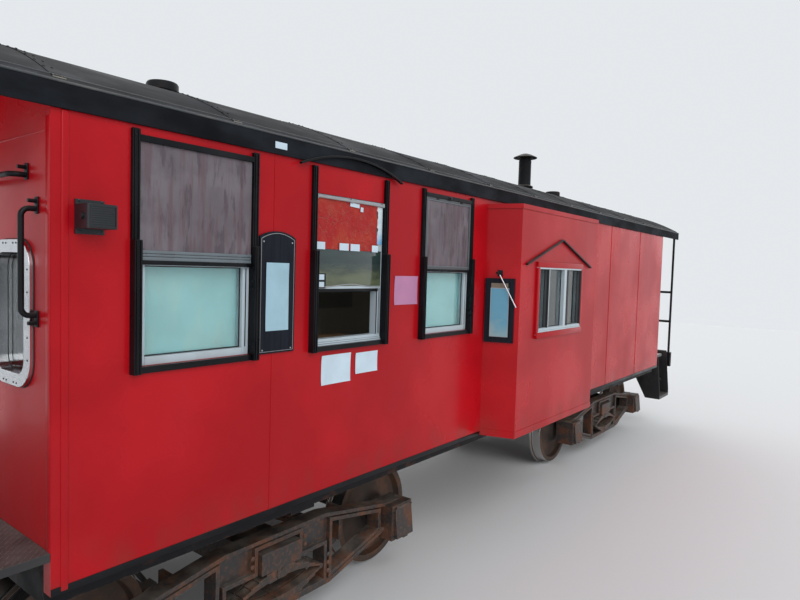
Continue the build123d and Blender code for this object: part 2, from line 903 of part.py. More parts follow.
# Door frames with their half of the hinges
leaf_face = body_end - door_setback
leaf_back = leaf_face - door_thickness
leaf_middle = (leaf_back + leaf_face) / 2
hinge_place = inner_end - hinge_setback
hinge_across = door_width / 2 + door_clearance / 2
hinge_heights = [floor_top + door_height * share for share in hinge_shares]
frame_knuckle = hinge_knuckle / 2 - 2 * hinge_gap
with BuildPart() as door_frames:
    for end in (-1, 1):
        for side in (-1, 1):
            block(mirrored(inner_end, body_end, end),
                  mirrored(jamb_inner, jamb_outer - seat_gap, side), (floor_top, door_head))
        block(mirrored(inner_end, body_end, end), about(0, 2 * (jamb_outer - seat_gap)),
              (door_head, door_head + door_frame - seat_gap))
        for height in hinge_heights:
            for way in (-1, 1):
                middle = height + way * hinge_pitch
                with Locations((end * hinge_place, end * hinge_across, middle)):
                    Cylinder(hinge_radius, frame_knuckle)
                block(mirrored(hinge_place, inner_end, end),
                      mirrored(hinge_across, jamb_inner + hinge_lap, end),
                      about(middle, frame_knuckle))
door_frames.part.label = "door_frames"
export_step(door_frames.part, "parts/door_frames.step")

# End doors, hinged at one jamb and opening into the cabin, and their panes
for name, end in ends:
    with BuildPart() as door:
        block(mirrored(leaf_back, leaf_face, end), about(0, door_width),
              (floor_top + door_sill_gap, floor_top + door_height))
        with BuildSketch(cross_plane(end * leaf_back)):
            with Locations((0, floor_top + door_window_rise)):
                RectangleRounded(door_window_width, door_window_height, door_window_radius)
        extrude(amount=end * door_thickness, mode=Mode.SUBTRACT)
        for face, inward in ((leaf_face, -1), (leaf_back, 1)):
            with BuildSketch(cross_plane(end * face)):
                with Locations((0, floor_top + door_panel_rise)):
                    RectangleRounded(door_window_width + 2 * hinge_lap, door_panel_height,
                                     door_window_radius / 2)
            extrude(amount=end * inward * door_panel_recess, mode=Mode.SUBTRACT)
        for height in hinge_heights:
            with Locations((end * hinge_place, end * hinge_across, height)):
                Cylinder(hinge_radius, hinge_knuckle - 2 * hinge_gap)
            block(mirrored(hinge_place, leaf_back, end),
                  mirrored(hinge_across - hinge_radius, hinge_across, end),
                  about(height, hinge_knuckle - 2 * hinge_gap))
        knob_reach = door_thickness / 2 + knob_stem
        with Locations((end * leaf_middle, -end * (door_width / 2 - knob_setback),
                        floor_top + knob_rise)):
            Cylinder(knob_stem_radius, 2 * knob_reach, rotation=(0, 90, 0))
            for way in (-1, 1):
                with Locations((way * knob_reach, 0, 0)):
                    Cylinder(knob_radius, knob_length, rotation=(0, 90, 0))
    door.part.label = f"door_{name}"
    export_step(door.part, f"parts/door_{name}.step")

    with BuildPart() as door_glass:
        with BuildSketch(cross_plane(end * leaf_middle)):
            with Locations((0, floor_top + door_window_rise)):
                RectangleRounded(door_window_width - 2 * seat_gap,
                                 door_window_height - 2 * seat_gap,
                                 door_window_radius - seat_gap)
        extrude(amount=glass_thickness / 2, both=True)
    door_glass.part.label = f"door_glass_{name}"
    export_step(door_glass.part, f"parts/door_glass_{name}.step")

# Drip rails: a gable over each bay window and an arch over the serving window
gable_foot = slider_high - gable_foot_drop
gable_apex = gable_foot + gable_rise
arch_foot = side_top - arch_foot_drop
arch_apex = arch_foot + arch_rise
with BuildPart() as drip_rails:
    for side in (-1, 1):
        with BuildSketch(side_plane(side * bay_face, slider_place)):
            Polygon((-gable_half, gable_foot), (0, gable_apex), (gable_half, gable_foot),
                    (gable_half, gable_foot - gable_strip), (0, gable_apex - gable_strip),
                    (-gable_half, gable_foot - gable_strip), align=None)
        extrude(amount=-side * drip_proud)
    with BuildSketch(side_plane(-roof_edge, window_place(serving_window))):
        with BuildLine():
            upper = ThreePointArc((-arch_half, arch_foot), (0, arch_apex), (arch_half, arch_foot))
            lower = ThreePointArc((arch_half, arch_foot - arch_strip),
                                  (0, arch_apex - arch_strip),
                                  (-arch_half, arch_foot - arch_strip))
            Line(upper @ 1, lower @ 0)
            Line(lower @ 1, upper @ 0)
        make_face()
    extrude(amount=drip_proud)
drip_rails.part.label = "drip_rails"
export_step(drip_rails.part, "parts/drip_rails.step")

# Grab irons on the end walls
# columns: first foot across and above the floor, last foot across and above the floor,
# shift of the first foot's plate
grab_feet = ((1200, 1020, 1200, 1480, -grab_foot_shift),
             (1093, 1632, 600, 1632, grab_foot_shift))
with BuildPart() as grab_irons:
    for end in (-1, 1):
        for side in (-1, 1):
            for first, first_rise, last, last_rise, shift in grab_feet:
                feet = [(side * first, floor_top + first_rise),
                        (side * last, floor_top + last_rise)]
                step = Vector(*feet[1]) - Vector(*feet[0])
                bend = step.normalized() * grab_bend
                bends = [Vector(*feet[0]) + bend, Vector(*feet[1]) - bend]
                outer = end * (body_end + grab_reach)
                shoulder = outer - end * grab_bend
                with BuildLine() as grab_line:
                    Polyline((end * body_end, *feet[0]), (shoulder, *feet[0]),
                             (outer, bends[0].X, bends[0].Y), (outer, bends[1].X, bends[1].Y),
                             (shoulder, *feet[1]), (end * body_end, *feet[1]))
                with BuildSketch(cross_plane(end * body_end)):
                    with Locations(feet[0]):
                        Circle(grab_radius)
                sweep(path=grab_line.line, transition=Transition.RIGHT)
                with BuildSketch(cross_plane(end * body_end)):
                    with Locations((feet[0][0], feet[0][1] + shift),
                                   (feet[1][0], feet[1][1] + grab_foot_shift)):
                        Rectangle(grab_foot_width, grab_foot_height)
                extrude(amount=end * grab_foot_thickness)
grab_irons.part.label = "grab_irons"
export_step(grab_irons.part, "parts/grab_irons.step")

# Speaker on its wall bracket
with BuildPart() as speaker:
    start = -body_end + speaker_start
    middle = floor_top + speaker_rise + speaker_height / 2
    block((start, start + bracket_width), (-half_width - bracket_thickness, -half_width),
          about(middle, bracket_height))
    with BuildSketch(Plane.XY.offset(middle - speaker_height / 2)):
        with Locations((start, -half_width - bracket_thickness)):
            Rectangle(speaker_width, speaker_depth, align=(Align.MIN, Align.MAX))
        outer_corners = vertices().group_by(Axis.Y)[0]
        fillet(outer_corners, speaker_round)
    extrude(amount=speaker_height)
speaker.part.label = "speaker"
export_step(speaker.part, "parts/speaker.step")

# Menu sign between the first two windows, with a crowned top
with BuildPart() as menu_sign:
    left = -body_end + sign_start
    right = left + sign_width
    low = floor_top + sign_rise
    high = low + sign_height
    with BuildSketch(side_plane(-half_width)):
        with BuildLine():
            Polyline((left, high - sign_crown), (left, low), (right, low),
                     (right, high - sign_crown))
            ThreePointArc((right, high - sign_crown), ((left + right) / 2, high),
                          (left, high - sign_crown))
        make_face()
    extrude(amount=sign_thickness)
menu_sign.part.label = "menu_sign"
export_step(menu_sign.part, "parts/menu_sign.step")

# Poster frame and prop rod on the slanted end face of the near bay
slant_run = (bay_base - bay_front) / 2
slant = sqrt(bay_depth ** 2 + slant_run ** 2)
bay_slant = Plane((-bay_base / 2, -half_width, floor_top),
                  x_dir=(slant_run / slant, -bay_depth / slant, 0),
                  z_dir=(-bay_depth / slant, -slant_run / slant, 0))
poster_spot = (poster_start + poster_width / 2, poster_rise + poster_height / 2)
with BuildPart() as poster_frame:
    with BuildSketch(bay_slant):
        with Locations(poster_spot):
            Rectangle(poster_width, poster_height)
    extrude(amount=poster_thickness)
    with BuildSketch(bay_slant.offset(poster_thickness)):
        with Locations(poster_spot):
            Rectangle(poster_width - 2 * poster_border, poster_height - 2 * poster_border)
    extrude(amount=-poster_recess, mode=Mode.SUBTRACT)
poster_frame.part.label = "poster_frame"
export_step(poster_frame.part, "parts/poster_frame.step")

with BuildPart() as prop_rod:
    with BuildSketch(bay_slant):
        with Locations(rod_hook):
            Circle(rod_eye_radius)
    extrude(amount=rod_stand + rod_eye_radius)
    rod_from = bay_slant.from_local_coords(Vector(*rod_hook, rod_stand))
    rod_to = bay_slant.from_local_coords(Vector(*rod_end, rod_stand))
    with BuildSketch(Plane(rod_from, z_dir=rod_to - rod_from)):
        Circle(rod_radius)
    extrude(amount=(rod_to - rod_from).length)
prop_rod.part.label = "prop_rod"
export_step(prop_rod.part, "parts/prop_rod.step")

# Boards behind the lower panes of the near side's shut windows
with BuildPart() as menu_boards:
    for window in side_windows["near"]:
        if window[3]:
            block(about(window_place(window), 2 * (opening_half + board_margin)),
                  (-inner_side, board_thickness - inner_side),
                  (opening_low - board_margin, window_low + window[1] + board_margin))
menu_boards.part.label = "menu_boards"
export_step(menu_boards.part, "parts/menu_boards.step")

# Counter under the serving window, open to the cabin
counter_half = opening_half + counter_margin
counter_high = opening_low - seat_gap
with BuildPart() as service_counter:
    place = window_place(serving_window)
    shelf = floor_top + counter_shelf_rise
    inside = about(place, 2 * (counter_half - counter_panel))
    across = (-inner_side, counter_depth - inner_side)
    hollow = (counter_panel - inner_side, counter_depth - inner_side)
    block(about(place, 2 * counter_half), across, (floor_top, counter_high - counter_top))
    block(inside, hollow, (floor_top + counter_kick, counter_high - counter_top - counter_panel),
          Mode.SUBTRACT)
    block(inside, hollow, (shelf, shelf + counter_panel))
    block(about(place, 2 * (counter_half + counter_lap)),
          (-inner_side, counter_depth + counter_lap - inner_side),
          (counter_high - counter_top, counter_high))
service_counter.part.label = "service_counter"
export_step(service_counter.part, "parts/service_counter.step")

# Air brake reservoir and cylinder, strapped under the middle cross bearers
# columns: radius, length, across, along
tanks = ((reservoir_radius, reservoir_length, tank_across, 0),
         (cylinder_radius, cylinder_length, -tank_across, bearer_pitch / 2))
with BuildPart() as air_brake_gear:
    for radius, length, across, along in tanks:
        with Locations((along, across, sill_top - radius - tank_drop)):
            Cylinder(radius, length, rotation=(0, 90, 0))
        chamfer(edges(Select.LAST).filter_by(GeomType.CIRCLE), tank_chamfer)
        for bearer in (-bearer_pitch / 2, bearer_pitch / 2):
            if abs(bearer - along) < length / 2:
                block(about(bearer, strap_width), about(across, 2 * strap_reach * radius),
                      (sill_top - radius, sill_top))
air_brake_gear.part.label = "air_brake_gear"
export_step(air_brake_gear.part, "parts/air_brake_gear.step")

# Side frame of a truck, seen from the side; x from the truck's centre
box_half = box_width / 2
half_outline = ((top_flat / 2, frame_top), (axle - box_half, box_high + box_shoulder),
                (axle + box_half, box_high), (axle + box_half, box_low),
                (axle - box_half, box_low), (axle - box_half, box_low + chord_depth),
                (bottom_flat / 2, frame_low))
frame_outline = [*half_outline, *[(-along, height) for along, height in reversed(half_outline)]]
spring_way = spring_half_length + spring_end_play
slot_half = bolster_width / 2 + bolster_clearance
spring_opening = [(-spring_way, spring_seat), (spring_way, spring_seat),
                  (spring_way, bolster_low), (slot_half, bolster_low),
                  (slot_half, frame_slot_top), (-slot_half, frame_slot_top),
                  (-slot_half, bolster_low), (-spring_way, bolster_low)]
light_start = spring_way + column_width
light_end = axle - box_half - column_width
spring_middle = spring_seat + spring_height / 2
spring_rise = spring_height / 2 - spring_leaves * leaf_thickness
spring_radius = (spring_half_length ** 2 + spring_rise ** 2) / (2 * spring_rise)

for name, end in ends:
    truck = end * truck_spread / 2

    # Side frames: rimmed web with three openings, and a bored box at each journal
    with BuildPart() as truck_frames:
        for side in (-1, 1):
            middle_plane = side_plane(side * frame_across, truck)
            with BuildSketch(middle_plane) as frame_face:
                Polygon(*frame_outline, align=None)
                Polygon(*spring_opening, align=None, mode=Mode.SUBTRACT)
                with BuildSketch(mode=Mode.PRIVATE) as frame_lights:
                    Polygon(*frame_outline, align=None)
                    offset(amount=-chord_depth, kind=Kind.INTERSECTION)
                    with Locations(*[(way * (light_start + light_end) / 2, wheel_centre)
                                     for way in (-1, 1)]):
                        Rectangle(light_end - light_start, 2 * frame_drop + box_rise,
                                  mode=Mode.INTERSECT)
                add(frame_lights.sketch, mode=Mode.SUBTRACT)
            extrude(amount=frame_thickness / 2, both=True)
            for way in (-1, 1):
                with BuildSketch(middle_plane.offset(way * frame_thickness / 2)):
                    add(frame_face.sketch_local)
                    offset(amount=-frame_rim, kind=Kind.INTERSECTION)
                extrude(amount=-way * (frame_thickness - frame_web) / 2, mode=Mode.SUBTRACT)
            for way in (-1, 1):
                place = truck + way * axle
                block(about(place, box_width), mirrored(box_inner, box_outer, side),
                      (box_low, box_high))
                with Locations((place, side * (box_inner + journal_reach) / 2, wheel_centre)):
                    Cylinder(journal_radius + journal_clearance,
                             journal_reach - box_inner + 2 * journal_clearance,
                             rotation=(90, 0, 0), mode=Mode.SUBTRACT)
                with BuildSketch(cross_plane(place - box_half + box_wall)):
                    Polygon((side * box_outer, box_high - box_wall),
                            (side * (box_outer + lid_thickness), box_high - box_wall),
                            (side * (box_outer + lid_thickness + lid_tilt), box_low + box_wall),
                            (side * box_outer, box_low + box_wall), align=None)
                extrude(amount=box_width - 2 * box_wall)
                with Locations((place, side * box_outer, box_high - box_wall)):
                    Cylinder(lid_hinge_radius, box_width - 4 * box_wall, rotation=(0, 90, 0))
    truck_frames.part.label = f"truck_frames_{name}"
    export_step(truck_frames.part, f"parts/truck_frames_{name}.step")

    # Bolster: a beam deeper in the middle, with the centre bowl and side bearings on top
    with BuildPart() as truck_bolster:
        half_length = bolster_length / 2
        end_span = half_length - bolster_end_span
        belly_half = sill_width + 2 * bolster_belly
        with BuildSketch(cross_plane(truck - bolster_width / 2)):
            Polygon((-half_length, bolster_top), (half_length, bolster_top),
                    (half_length, bolster_low), (end_span, bolster_low),
                    (belly_half, bolster_low - bolster_belly),
                    (-belly_half, bolster_low - bolster_belly),
                    (-end_span, bolster_low), (-half_length, bolster_low), align=None)
        extrude(amount=bolster_width)
        bowl_radius = centre_plate_radius + centre_plate_play
        with Locations((truck, 0, bolster_top)):
            Cylinder(bowl_radius + bowl_wall, bowl_rise + bowl_lip, align=upwards)
        with Locations((truck, 0, centre_plate_top)):
            Cylinder(bowl_radius, bowl_lip, align=upwards, mode=Mode.SUBTRACT)
        for side in (-1, 1):
            block(about(truck, side_bearing_size),
                  about(side * side_bearing_across, side_bearing_size),
                  (bolster_top, bolster_top + bowl_rise + bowl_lip))
    truck_bolster.part.label = f"truck_bolster_{name}"
    export_step(truck_bolster.part, f"parts/truck_bolster_{name}.step")

    # Full elliptic springs, two side by side in each frame: leaves, eyes and bands
    with BuildPart() as leaf_springs:
        for side in (-1, 1):
            for way_across in (-1, 1):
                across = side * frame_across + way_across * (leaf_width + spring_gap) / 2
                with BuildSketch(side_plane(across, truck)):
                    for way, upright in ((1, 90), (-1, 270)):
                        centre = spring_middle - way * (spring_radius - spring_rise)
                        for leaf in range(spring_leaves):
                            inner = spring_radius + leaf * leaf_thickness
                            reach = degrees(asin((spring_half_length - leaf * leaf_step) / inner))
                            with BuildLine():
                                low = CenterArc((0, centre), inner, upright - reach, 2 * reach)
                                high = CenterArc((0, centre), inner + leaf_thickness,
                                                 upright - reach, 2 * reach)
                                Line(low @ 0, high @ 0)
                                Line(low @ 1, high @ 1)
                            make_face()
                    with Locations((-spring_half_length, spring_middle),
                                   (spring_half_length, spring_middle)):
                        Circle(leaf_eye_radius)
                extrude(amount=leaf_width / 2, both=True)
                for low, high in ((spring_seat, spring_middle - spring_rise + band_lap),
                                  (spring_middle + spring_rise - band_lap, bolster_low)):
                    block(about(truck, band_width), about(across, leaf_width + 2 * band_lap),
                          (low, high))
    leaf_springs.part.label = f"leaf_springs_{name}"
    export_step(leaf_springs.part, f"parts/leaf_springs_{name}.step")

    # Brake beams: bar, strut and tension rods, shoes, and hangers to the side frames
    with BuildPart() as brake_beams:
        shoe_face = tread_radius + shoe_clearance
        shoe_back = shoe_face + shoe_thickness + shoe_head
        shoe_across = wheel_back + flange_root + shoe_flange_gap + shoe_width / 2
        beam_reach = frame_across - frame_thickness / 2
        for way in (-1, 1):
            axle_place = truck + way * axle
            beam = axle_place - way * (shoe_face + shoe_thickness + beam_width)
            block(about(beam, beam_width), about(0, 2 * (shoe_across + shoe_width)),
                  about(wheel_centre, beam_height))
            with BuildSketch(Plane.XY.offset(wheel_centre - beam_rod / 2)):
                for side in (-1, 1):
                    Polygon((beam - way * beam_width / 2, side * shoe_across),
                            (beam - way * beam_strut, side * beam_rod),
                            (beam - way * (beam_strut + beam_rod), side * beam_rod),
                            (beam - way * beam_width / 2, side * (shoe_across + beam_strut / 2)),
                            align=None)
                with Locations((beam - way * (beam_strut + beam_rod) / 2, 0)):
                    Rectangle(beam_strut + beam_rod, beam_post)
            extrude(amount=beam_rod)
            for side in (-1, 1):
                block(about(beam, hanger_width),
                      mirrored(shoe_across + shoe_width / 2, beam_reach, side),
                      (wheel_centre - beam_height / 2, frame_slot_top))
                turn = 180 if way > 0 else 0
                with BuildSketch(side_plane(side * shoe_across, axle_place)):
                    with BuildLine():
                        near = CenterArc((0, wheel_centre), shoe_face, turn - shoe_half_angle,
                                         2 * shoe_half_angle)
                        back = CenterArc((0, wheel_centre), shoe_back, turn - shoe_half_angle,
                                         2 * shoe_half_angle)
                        Line(near @ 0, back @ 0)
                        Line(near @ 1, back @ 1)
                    make_face()
                extrude(amount=shoe_width / 2, both=True)
    brake_beams.part.label = f"brake_beams_{name}"
    export_step(brake_beams.part, f"parts/brake_beams_{name}.step")

    # Wheelsets: an axle with its two flanged wheels, turned as one profile
    # columns: radius, place along the axle
    rim_inner = tread_radius - rim_thickness
    plate_face = wheel_back + plate_thickness
    half_profile = ((axle_radius, wheel_back), (wheel_centre, wheel_back),
                    (wheel_centre, wheel_back + flange_tip),
                    (tread_radius, wheel_back + flange_root),
                    (tread_radius, wheel_face), (rim_inner, wheel_face),
                    (rim_inner, plate_face), (hub_radius, plate_face),
                    (hub_radius, wheel_face + hub_proud), (journal_radius, wheel_face + hub_proud),
                    (journal_radius, journal_reach))
    for number, way in ((1, -1), (2, 1)):
        place = truck + way * axle
        with BuildPart() as wheelset:
            with BuildSketch(Plane((place, 0, wheel_centre))):
                with BuildLine():
                    Polyline((0, -journal_reach),
                             *[(radius, -along) for radius, along in reversed(half_profile)],
                             *half_profile, (0, journal_reach), close=True)
                make_face()
            revolve(axis=Axis((place, 0, wheel_centre), (0, 1, 0)))
        wheelset.part.label = f"wheelset_{name}_{number}"
        export_step(wheelset.part, f"parts/wheelset_{name}_{number}.step")
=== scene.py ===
import math
import bpy
import bmesh
from mathutils import Matrix, Vector


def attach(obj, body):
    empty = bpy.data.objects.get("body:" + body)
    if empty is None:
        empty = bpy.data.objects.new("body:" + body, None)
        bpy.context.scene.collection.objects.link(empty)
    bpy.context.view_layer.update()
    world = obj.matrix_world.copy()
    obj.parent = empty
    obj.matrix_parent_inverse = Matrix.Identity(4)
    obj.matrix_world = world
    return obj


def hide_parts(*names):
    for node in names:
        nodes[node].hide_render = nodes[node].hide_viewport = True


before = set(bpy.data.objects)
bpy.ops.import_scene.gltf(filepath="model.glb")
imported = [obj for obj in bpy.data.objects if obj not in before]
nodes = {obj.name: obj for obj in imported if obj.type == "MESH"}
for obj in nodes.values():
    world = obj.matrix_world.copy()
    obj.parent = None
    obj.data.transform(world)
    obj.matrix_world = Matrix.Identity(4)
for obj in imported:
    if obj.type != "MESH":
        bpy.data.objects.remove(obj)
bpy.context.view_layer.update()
scene = bpy.context.scene
print("frame loaded:", len(nodes), "nodes")

# main places of the car in metres, used by many pieces
car = {
    "end": 4.59, "side": 1.33, "foot": 1.0284, "floor": 1.2244, "top": 3.1234,
    "roofRadius": 2.6654, "roofAxis": 0.935,
    "truckPlace": 3.05, "axlePlace": 1.22, "axleHeight": 0.4471,
}
ways = (-1, 1)  # the two sides, or the two ends
ends = (("a", -1), ("b", 1))  # each end's letter and its way along the car


# shader helpers
def addNode(tree, kind, **settings):
    node = tree.nodes.new("ShaderNode" + kind)
    for key, value in settings.items():
        setattr(node, key, value)
    return node


def give(tree, value, socket):
    # a number or a colour is set on the socket, another node's output is linked to it
    if isinstance(value, (int, float)):
        socket.default_value = value
    elif isinstance(value, tuple):
        socket.default_value = (*value, 1)
    else:
        tree.links.new(value, socket)


def newGroup(name, inputs, outputs):
    group = bpy.data.node_groups.new(name, "ShaderNodeTree")
    for label, value in inputs.items():
        kind = "NodeSocketVector" if isinstance(value, tuple) else "NodeSocketFloat"
        socket = group.interface.new_socket(label, in_out="INPUT", socket_type=kind)
        socket.default_value = value
    for label in outputs:
        group.interface.new_socket(label, in_out="OUTPUT", socket_type="NodeSocketFloat")
    return (group, group.nodes.new("NodeGroupInput").outputs,
            group.nodes.new("NodeGroupOutput").inputs)


def calc(tree, operation, *values):
    node = addNode(tree, "Math", operation=operation)
    for value, socket in zip(values, node.inputs):
        give(tree, value, socket)
    return node.outputs[0]


def times(tree, first, second):
    return calc(tree, "MULTIPLY", first, second)


def oneMinus(tree, value):
    return calc(tree, "SUBTRACT", 1.0, value)


def fromMiddle(tree, value):
    # distance from the middle of each whole step
    return calc(tree, "ABSOLUTE", calc(tree, "SUBTRACT", calc(tree, "FRACT", value), 0.5))


def ramp(tree, value, low, high):
    # 0 below low, 1 above high, smooth between
    node = addNode(tree, "MapRange", interpolation_type="SMOOTHSTEP")
    for label, amount in (("Value", value), ("From Min", low), ("From Max", high)):
        give(tree, amount, node.inputs[label])
    return node.outputs["Result"]


def objectPlace(tree):
    return addNode(tree, "TexCoord").outputs["Object"]


def facing(tree, which="Normal"):
    return addNode(tree, "NewGeometry").outputs[which]


def split(tree, source):
    node = addNode(tree, "SeparateXYZ")
    give(tree, source, node.inputs[0])
    return node.outputs


def noise(tree, scale, detail=2.0, place=None):
    node = addNode(tree, "TexNoise")
    give(tree, place or objectPlace(tree), node.inputs["Vector"])
    give(tree, scale, node.inputs["Scale"])
    give(tree, detail, node.inputs["Detail"])
    return node.outputs["Fac"]


# patches: soft noise mask, stretched as asked
tree, given, made = newGroup("patches", {
    "Scale": 3.0, "Stretch": (1, 1, 1), "Low": 0.45, "High": 0.65, "Detail": 5.0}, ["Mask"])
stretched = addNode(tree, "VectorMath", operation="MULTIPLY")
give(tree, objectPlace(tree), stretched.inputs[0])
give(tree, given["Stretch"], stretched.inputs[1])
cloud = noise(tree, given["Scale"], given["Detail"], stretched.outputs[0])
give(tree, ramp(tree, cloud, given["Low"], given["High"]), made["Mask"])
patchGroup = tree

# rubbed edges: where a rounded normal leaves the flat one, broken up by noise
tree, given, made = newGroup("rubbedEdges", {"Radius": 0.004, "Grain": 45.0}, ["Mask"])
rounded = addNode(tree, "Bevel", samples=4)
give(tree, given["Radius"], rounded.inputs["Radius"])
dot = addNode(tree, "VectorMath", operation="DOT_PRODUCT")
give(tree, rounded.outputs[0], dot.inputs[0])
give(tree, facing(tree), dot.inputs[1])
edge = ramp(tree, oneMinus(tree, dot.outputs["Value"]), 0.02, 0.2)
give(tree, times(tree, edge, ramp(tree, noise(tree, given["Grain"]), 0.42, 0.6)), made["Mask"])
rubGroup = tree

# settled dust: faces that look up, in patches
tree, given, made = newGroup("settledDust", {"Scale": 6.0, "Low": 0.3}, ["Mask"])
upward = ramp(tree, split(tree, facing(tree))["Z"], 0.3, 0.95)
cloud = ramp(tree, noise(tree, given["Scale"], 6.0), given["Low"], 0.75)
give(tree, times(tree, upward, cloud), made["Mask"])
dustGroup = tree

# planks: grooves across Y and a tone for each board
tree, given, made = newGroup("planks", {"Width": 0.1}, ["Groove", "Tone"])
board = calc(tree, "DIVIDE", split(tree, objectPlace(tree))["Y"], given["Width"])
give(tree, ramp(tree, fromMiddle(tree, board), 0.46, 0.49), made["Groove"])
boardTone = addNode(tree, "TexWhiteNoise", noise_dimensions="1D")
give(tree, calc(tree, "FLOOR", board), boardTone.inputs["W"])
give(tree, boardTone.outputs["Value"], made["Tone"])
plankGroup = tree

# tread plate: short raised bars, every other one turned by a right angle, on level faces
tree, given, made = newGroup("treadPlate", {"Pitch": 0.03}, ["Height"])
place = split(tree, objectPlace(tree))
along, across = (calc(tree, "DIVIDE", place[axis], given["Pitch"]) for axis in "XY")
bars = []
for first, second in ((along, across), (across, along)):
    shifted = calc(tree, "ADD", calc(tree, "ADD", first, second), 0.5 * len(bars))
    length = fromMiddle(tree, times(tree, shifted, 0.5))
    width = fromMiddle(tree, calc(tree, "SUBTRACT", first, second))
    bars.append(times(tree, ramp(tree, calc(tree, "SUBTRACT", 0.5, length), 0.22, 0.32),
                      ramp(tree, calc(tree, "SUBTRACT", 0.5, width), 0.36, 0.44)))
level = calc(tree, "GREATER_THAN", split(tree, facing(tree, "True Normal"))["Z"], 0.8)
give(tree, times(tree, calc(tree, "MAXIMUM", *bars), level), made["Height"])
treadGroup = tree

# inside faces: 1 on the cabin's own side of the walls, the bays and the doors
lining = {"side": 1.285, "end": 4.545, "bayFace": 1.6, "bayHalf": 0.95, "bayLow": 1.2,
          "bayHigh": 3.05, "slope": 0.3}
tree, given, made = newGroup("insideFaces", {}, ["Mask"])
place = split(tree, objectPlace(tree))
along, across = (calc(tree, "ABSOLUTE", place[axis]) for axis in "XY")
cabin = times(tree, calc(tree, "LESS_THAN", across, lining["side"]),
              calc(tree, "LESS_THAN", along, lining["end"]))
slant = times(tree, calc(tree, "SUBTRACT", across, car["side"]), lining["slope"])
bay = times(tree, calc(tree, "LESS_THAN", across, lining["bayFace"]),
            calc(tree, "LESS_THAN", calc(tree, "ADD", along, slant), lining["bayHalf"]))
heights = times(tree, calc(tree, "GREATER_THAN", place["Z"], lining["bayLow"]),
                calc(tree, "LESS_THAN", place["Z"], lining["bayHigh"]))
give(tree, calc(tree, "MAXIMUM", cabin, times(tree, bay, heights)), made["Mask"])
insideGroup = tree

# materials
finishes = {}


def newMaterial(name, settings):
    material = finishes[name] = bpy.data.materials.new(name)
    material.use_nodes = True
    shader = material.node_tree.nodes["Principled BSDF"]
    for label, value in settings.items():
        give(material.node_tree, value, shader.inputs[label])
    return material.node_tree, shader


def mask(tree, group, output="Mask", **values):
    node = addNode(tree, "Group", node_tree=group)
    for label, value in values.items():
        node.inputs[label.capitalize()].default_value = value
    return node.outputs[output]


def patches(tree, **values):
    return mask(tree, patchGroup, **values)


def shade(colour, share):
    return tuple(value * share for value in colour)


def layered(tree, colour, *coats):
    # each coat: where it lies, how much of it, and its colour
    for where, strength, coat in coats:
        node = addNode(tree, "Mix", data_type="RGBA")
        colourSockets = [socket for socket in node.inputs if socket.type == "RGBA"]
        give(tree, where if strength == 1 else times(tree, where, strength), node.inputs["Factor"])
        for value, socket in zip((colour, coat), colourSockets):
            give(tree, value, socket)
        colour = [socket for socket in node.outputs if socket.type == "RGBA"][0]
    return colour


def blendValue(tree, factor, first, second):
    node = addNode(tree, "MapRange")
    for label, value in (("Value", factor), ("To Min", first), ("To Max", second)):
        give(tree, value, node.inputs[label])
    return node.outputs["Result"]


def dress(tree, shader, colour, layers, rough=None):
    # rough: a mask and the roughness at its 0 and 1; layers: heights and their depths in metres
    give(tree, colour, shader.inputs["Base Color"])
    if rough:
        give(tree, blendValue(tree, *rough), shader.inputs["Roughness"])
    normal = None
    for height, depth in layers:
        node = addNode(tree, "Bump")
        for label, value in (("Strength", 1), ("Distance", depth), ("Height", height)):
            give(tree, value, node.inputs[label])
        if normal:
            give(tree, normal, node.inputs["Normal"])
        normal = node.outputs["Normal"]
    give(tree, normal, shader.inputs["Normal"])


colours = {
    "red": (0.50, 0.006, 0.012), "redShade": (0.38, 0.003, 0.008), "redChalk": (0.52, 0.04, 0.05),
    "redGrime": (0.10, 0.05, 0.035), "cream": (0.60, 0.56, 0.47),
    "black": (0.004, 0.0045, 0.006), "blackWorn": (0.010, 0.0105, 0.0125),
    "blackRubbed": (0.15, 0.11, 0.09), "dust": (0.20, 0.18, 0.155),
    "roofWorn": (0.014, 0.016, 0.020), "roofGlare": (0.035, 0.045, 0.06),
    "roofDust": (0.12, 0.115, 0.11),
    "rust": (0.13, 0.045, 0.018), "rustFine": (0.19, 0.08, 0.035), "rustEdge": (0.20, 0.14, 0.10),
    "plateDark": (0.055, 0.034, 0.024), "plateRust": (0.115, 0.052, 0.027),
    "plateStreak": (0.035, 0.028, 0.025), "oil": (0.018, 0.015, 0.014),
    # vinyl: white vinyl painted a darker bluish grey, as it looks in the shade under the roof
    "steel": (0.42, 0.41, 0.40), "vinyl": (0.48, 0.56, 0.61), "soil": (0.30, 0.29, 0.27),
    "clothDark": (0.128, 0.110, 0.124), "clothPale": (0.190, 0.168, 0.186),
    "clothGrime": (0.092, 0.074, 0.088), "clothStreak": (0.120, 0.070, 0.082),
    "clothStain": (0.066, 0.050, 0.062), "plateGrey": (0.016, 0.016, 0.018),
    "plateWorn": (0.035, 0.032, 0.03), "plateBright": (0.16, 0.15, 0.145),
    # creaseHighlight: the pale colour of the painted highlight along the creases
    "creaseHighlight": (0.60, 0.24, 0.15),
}


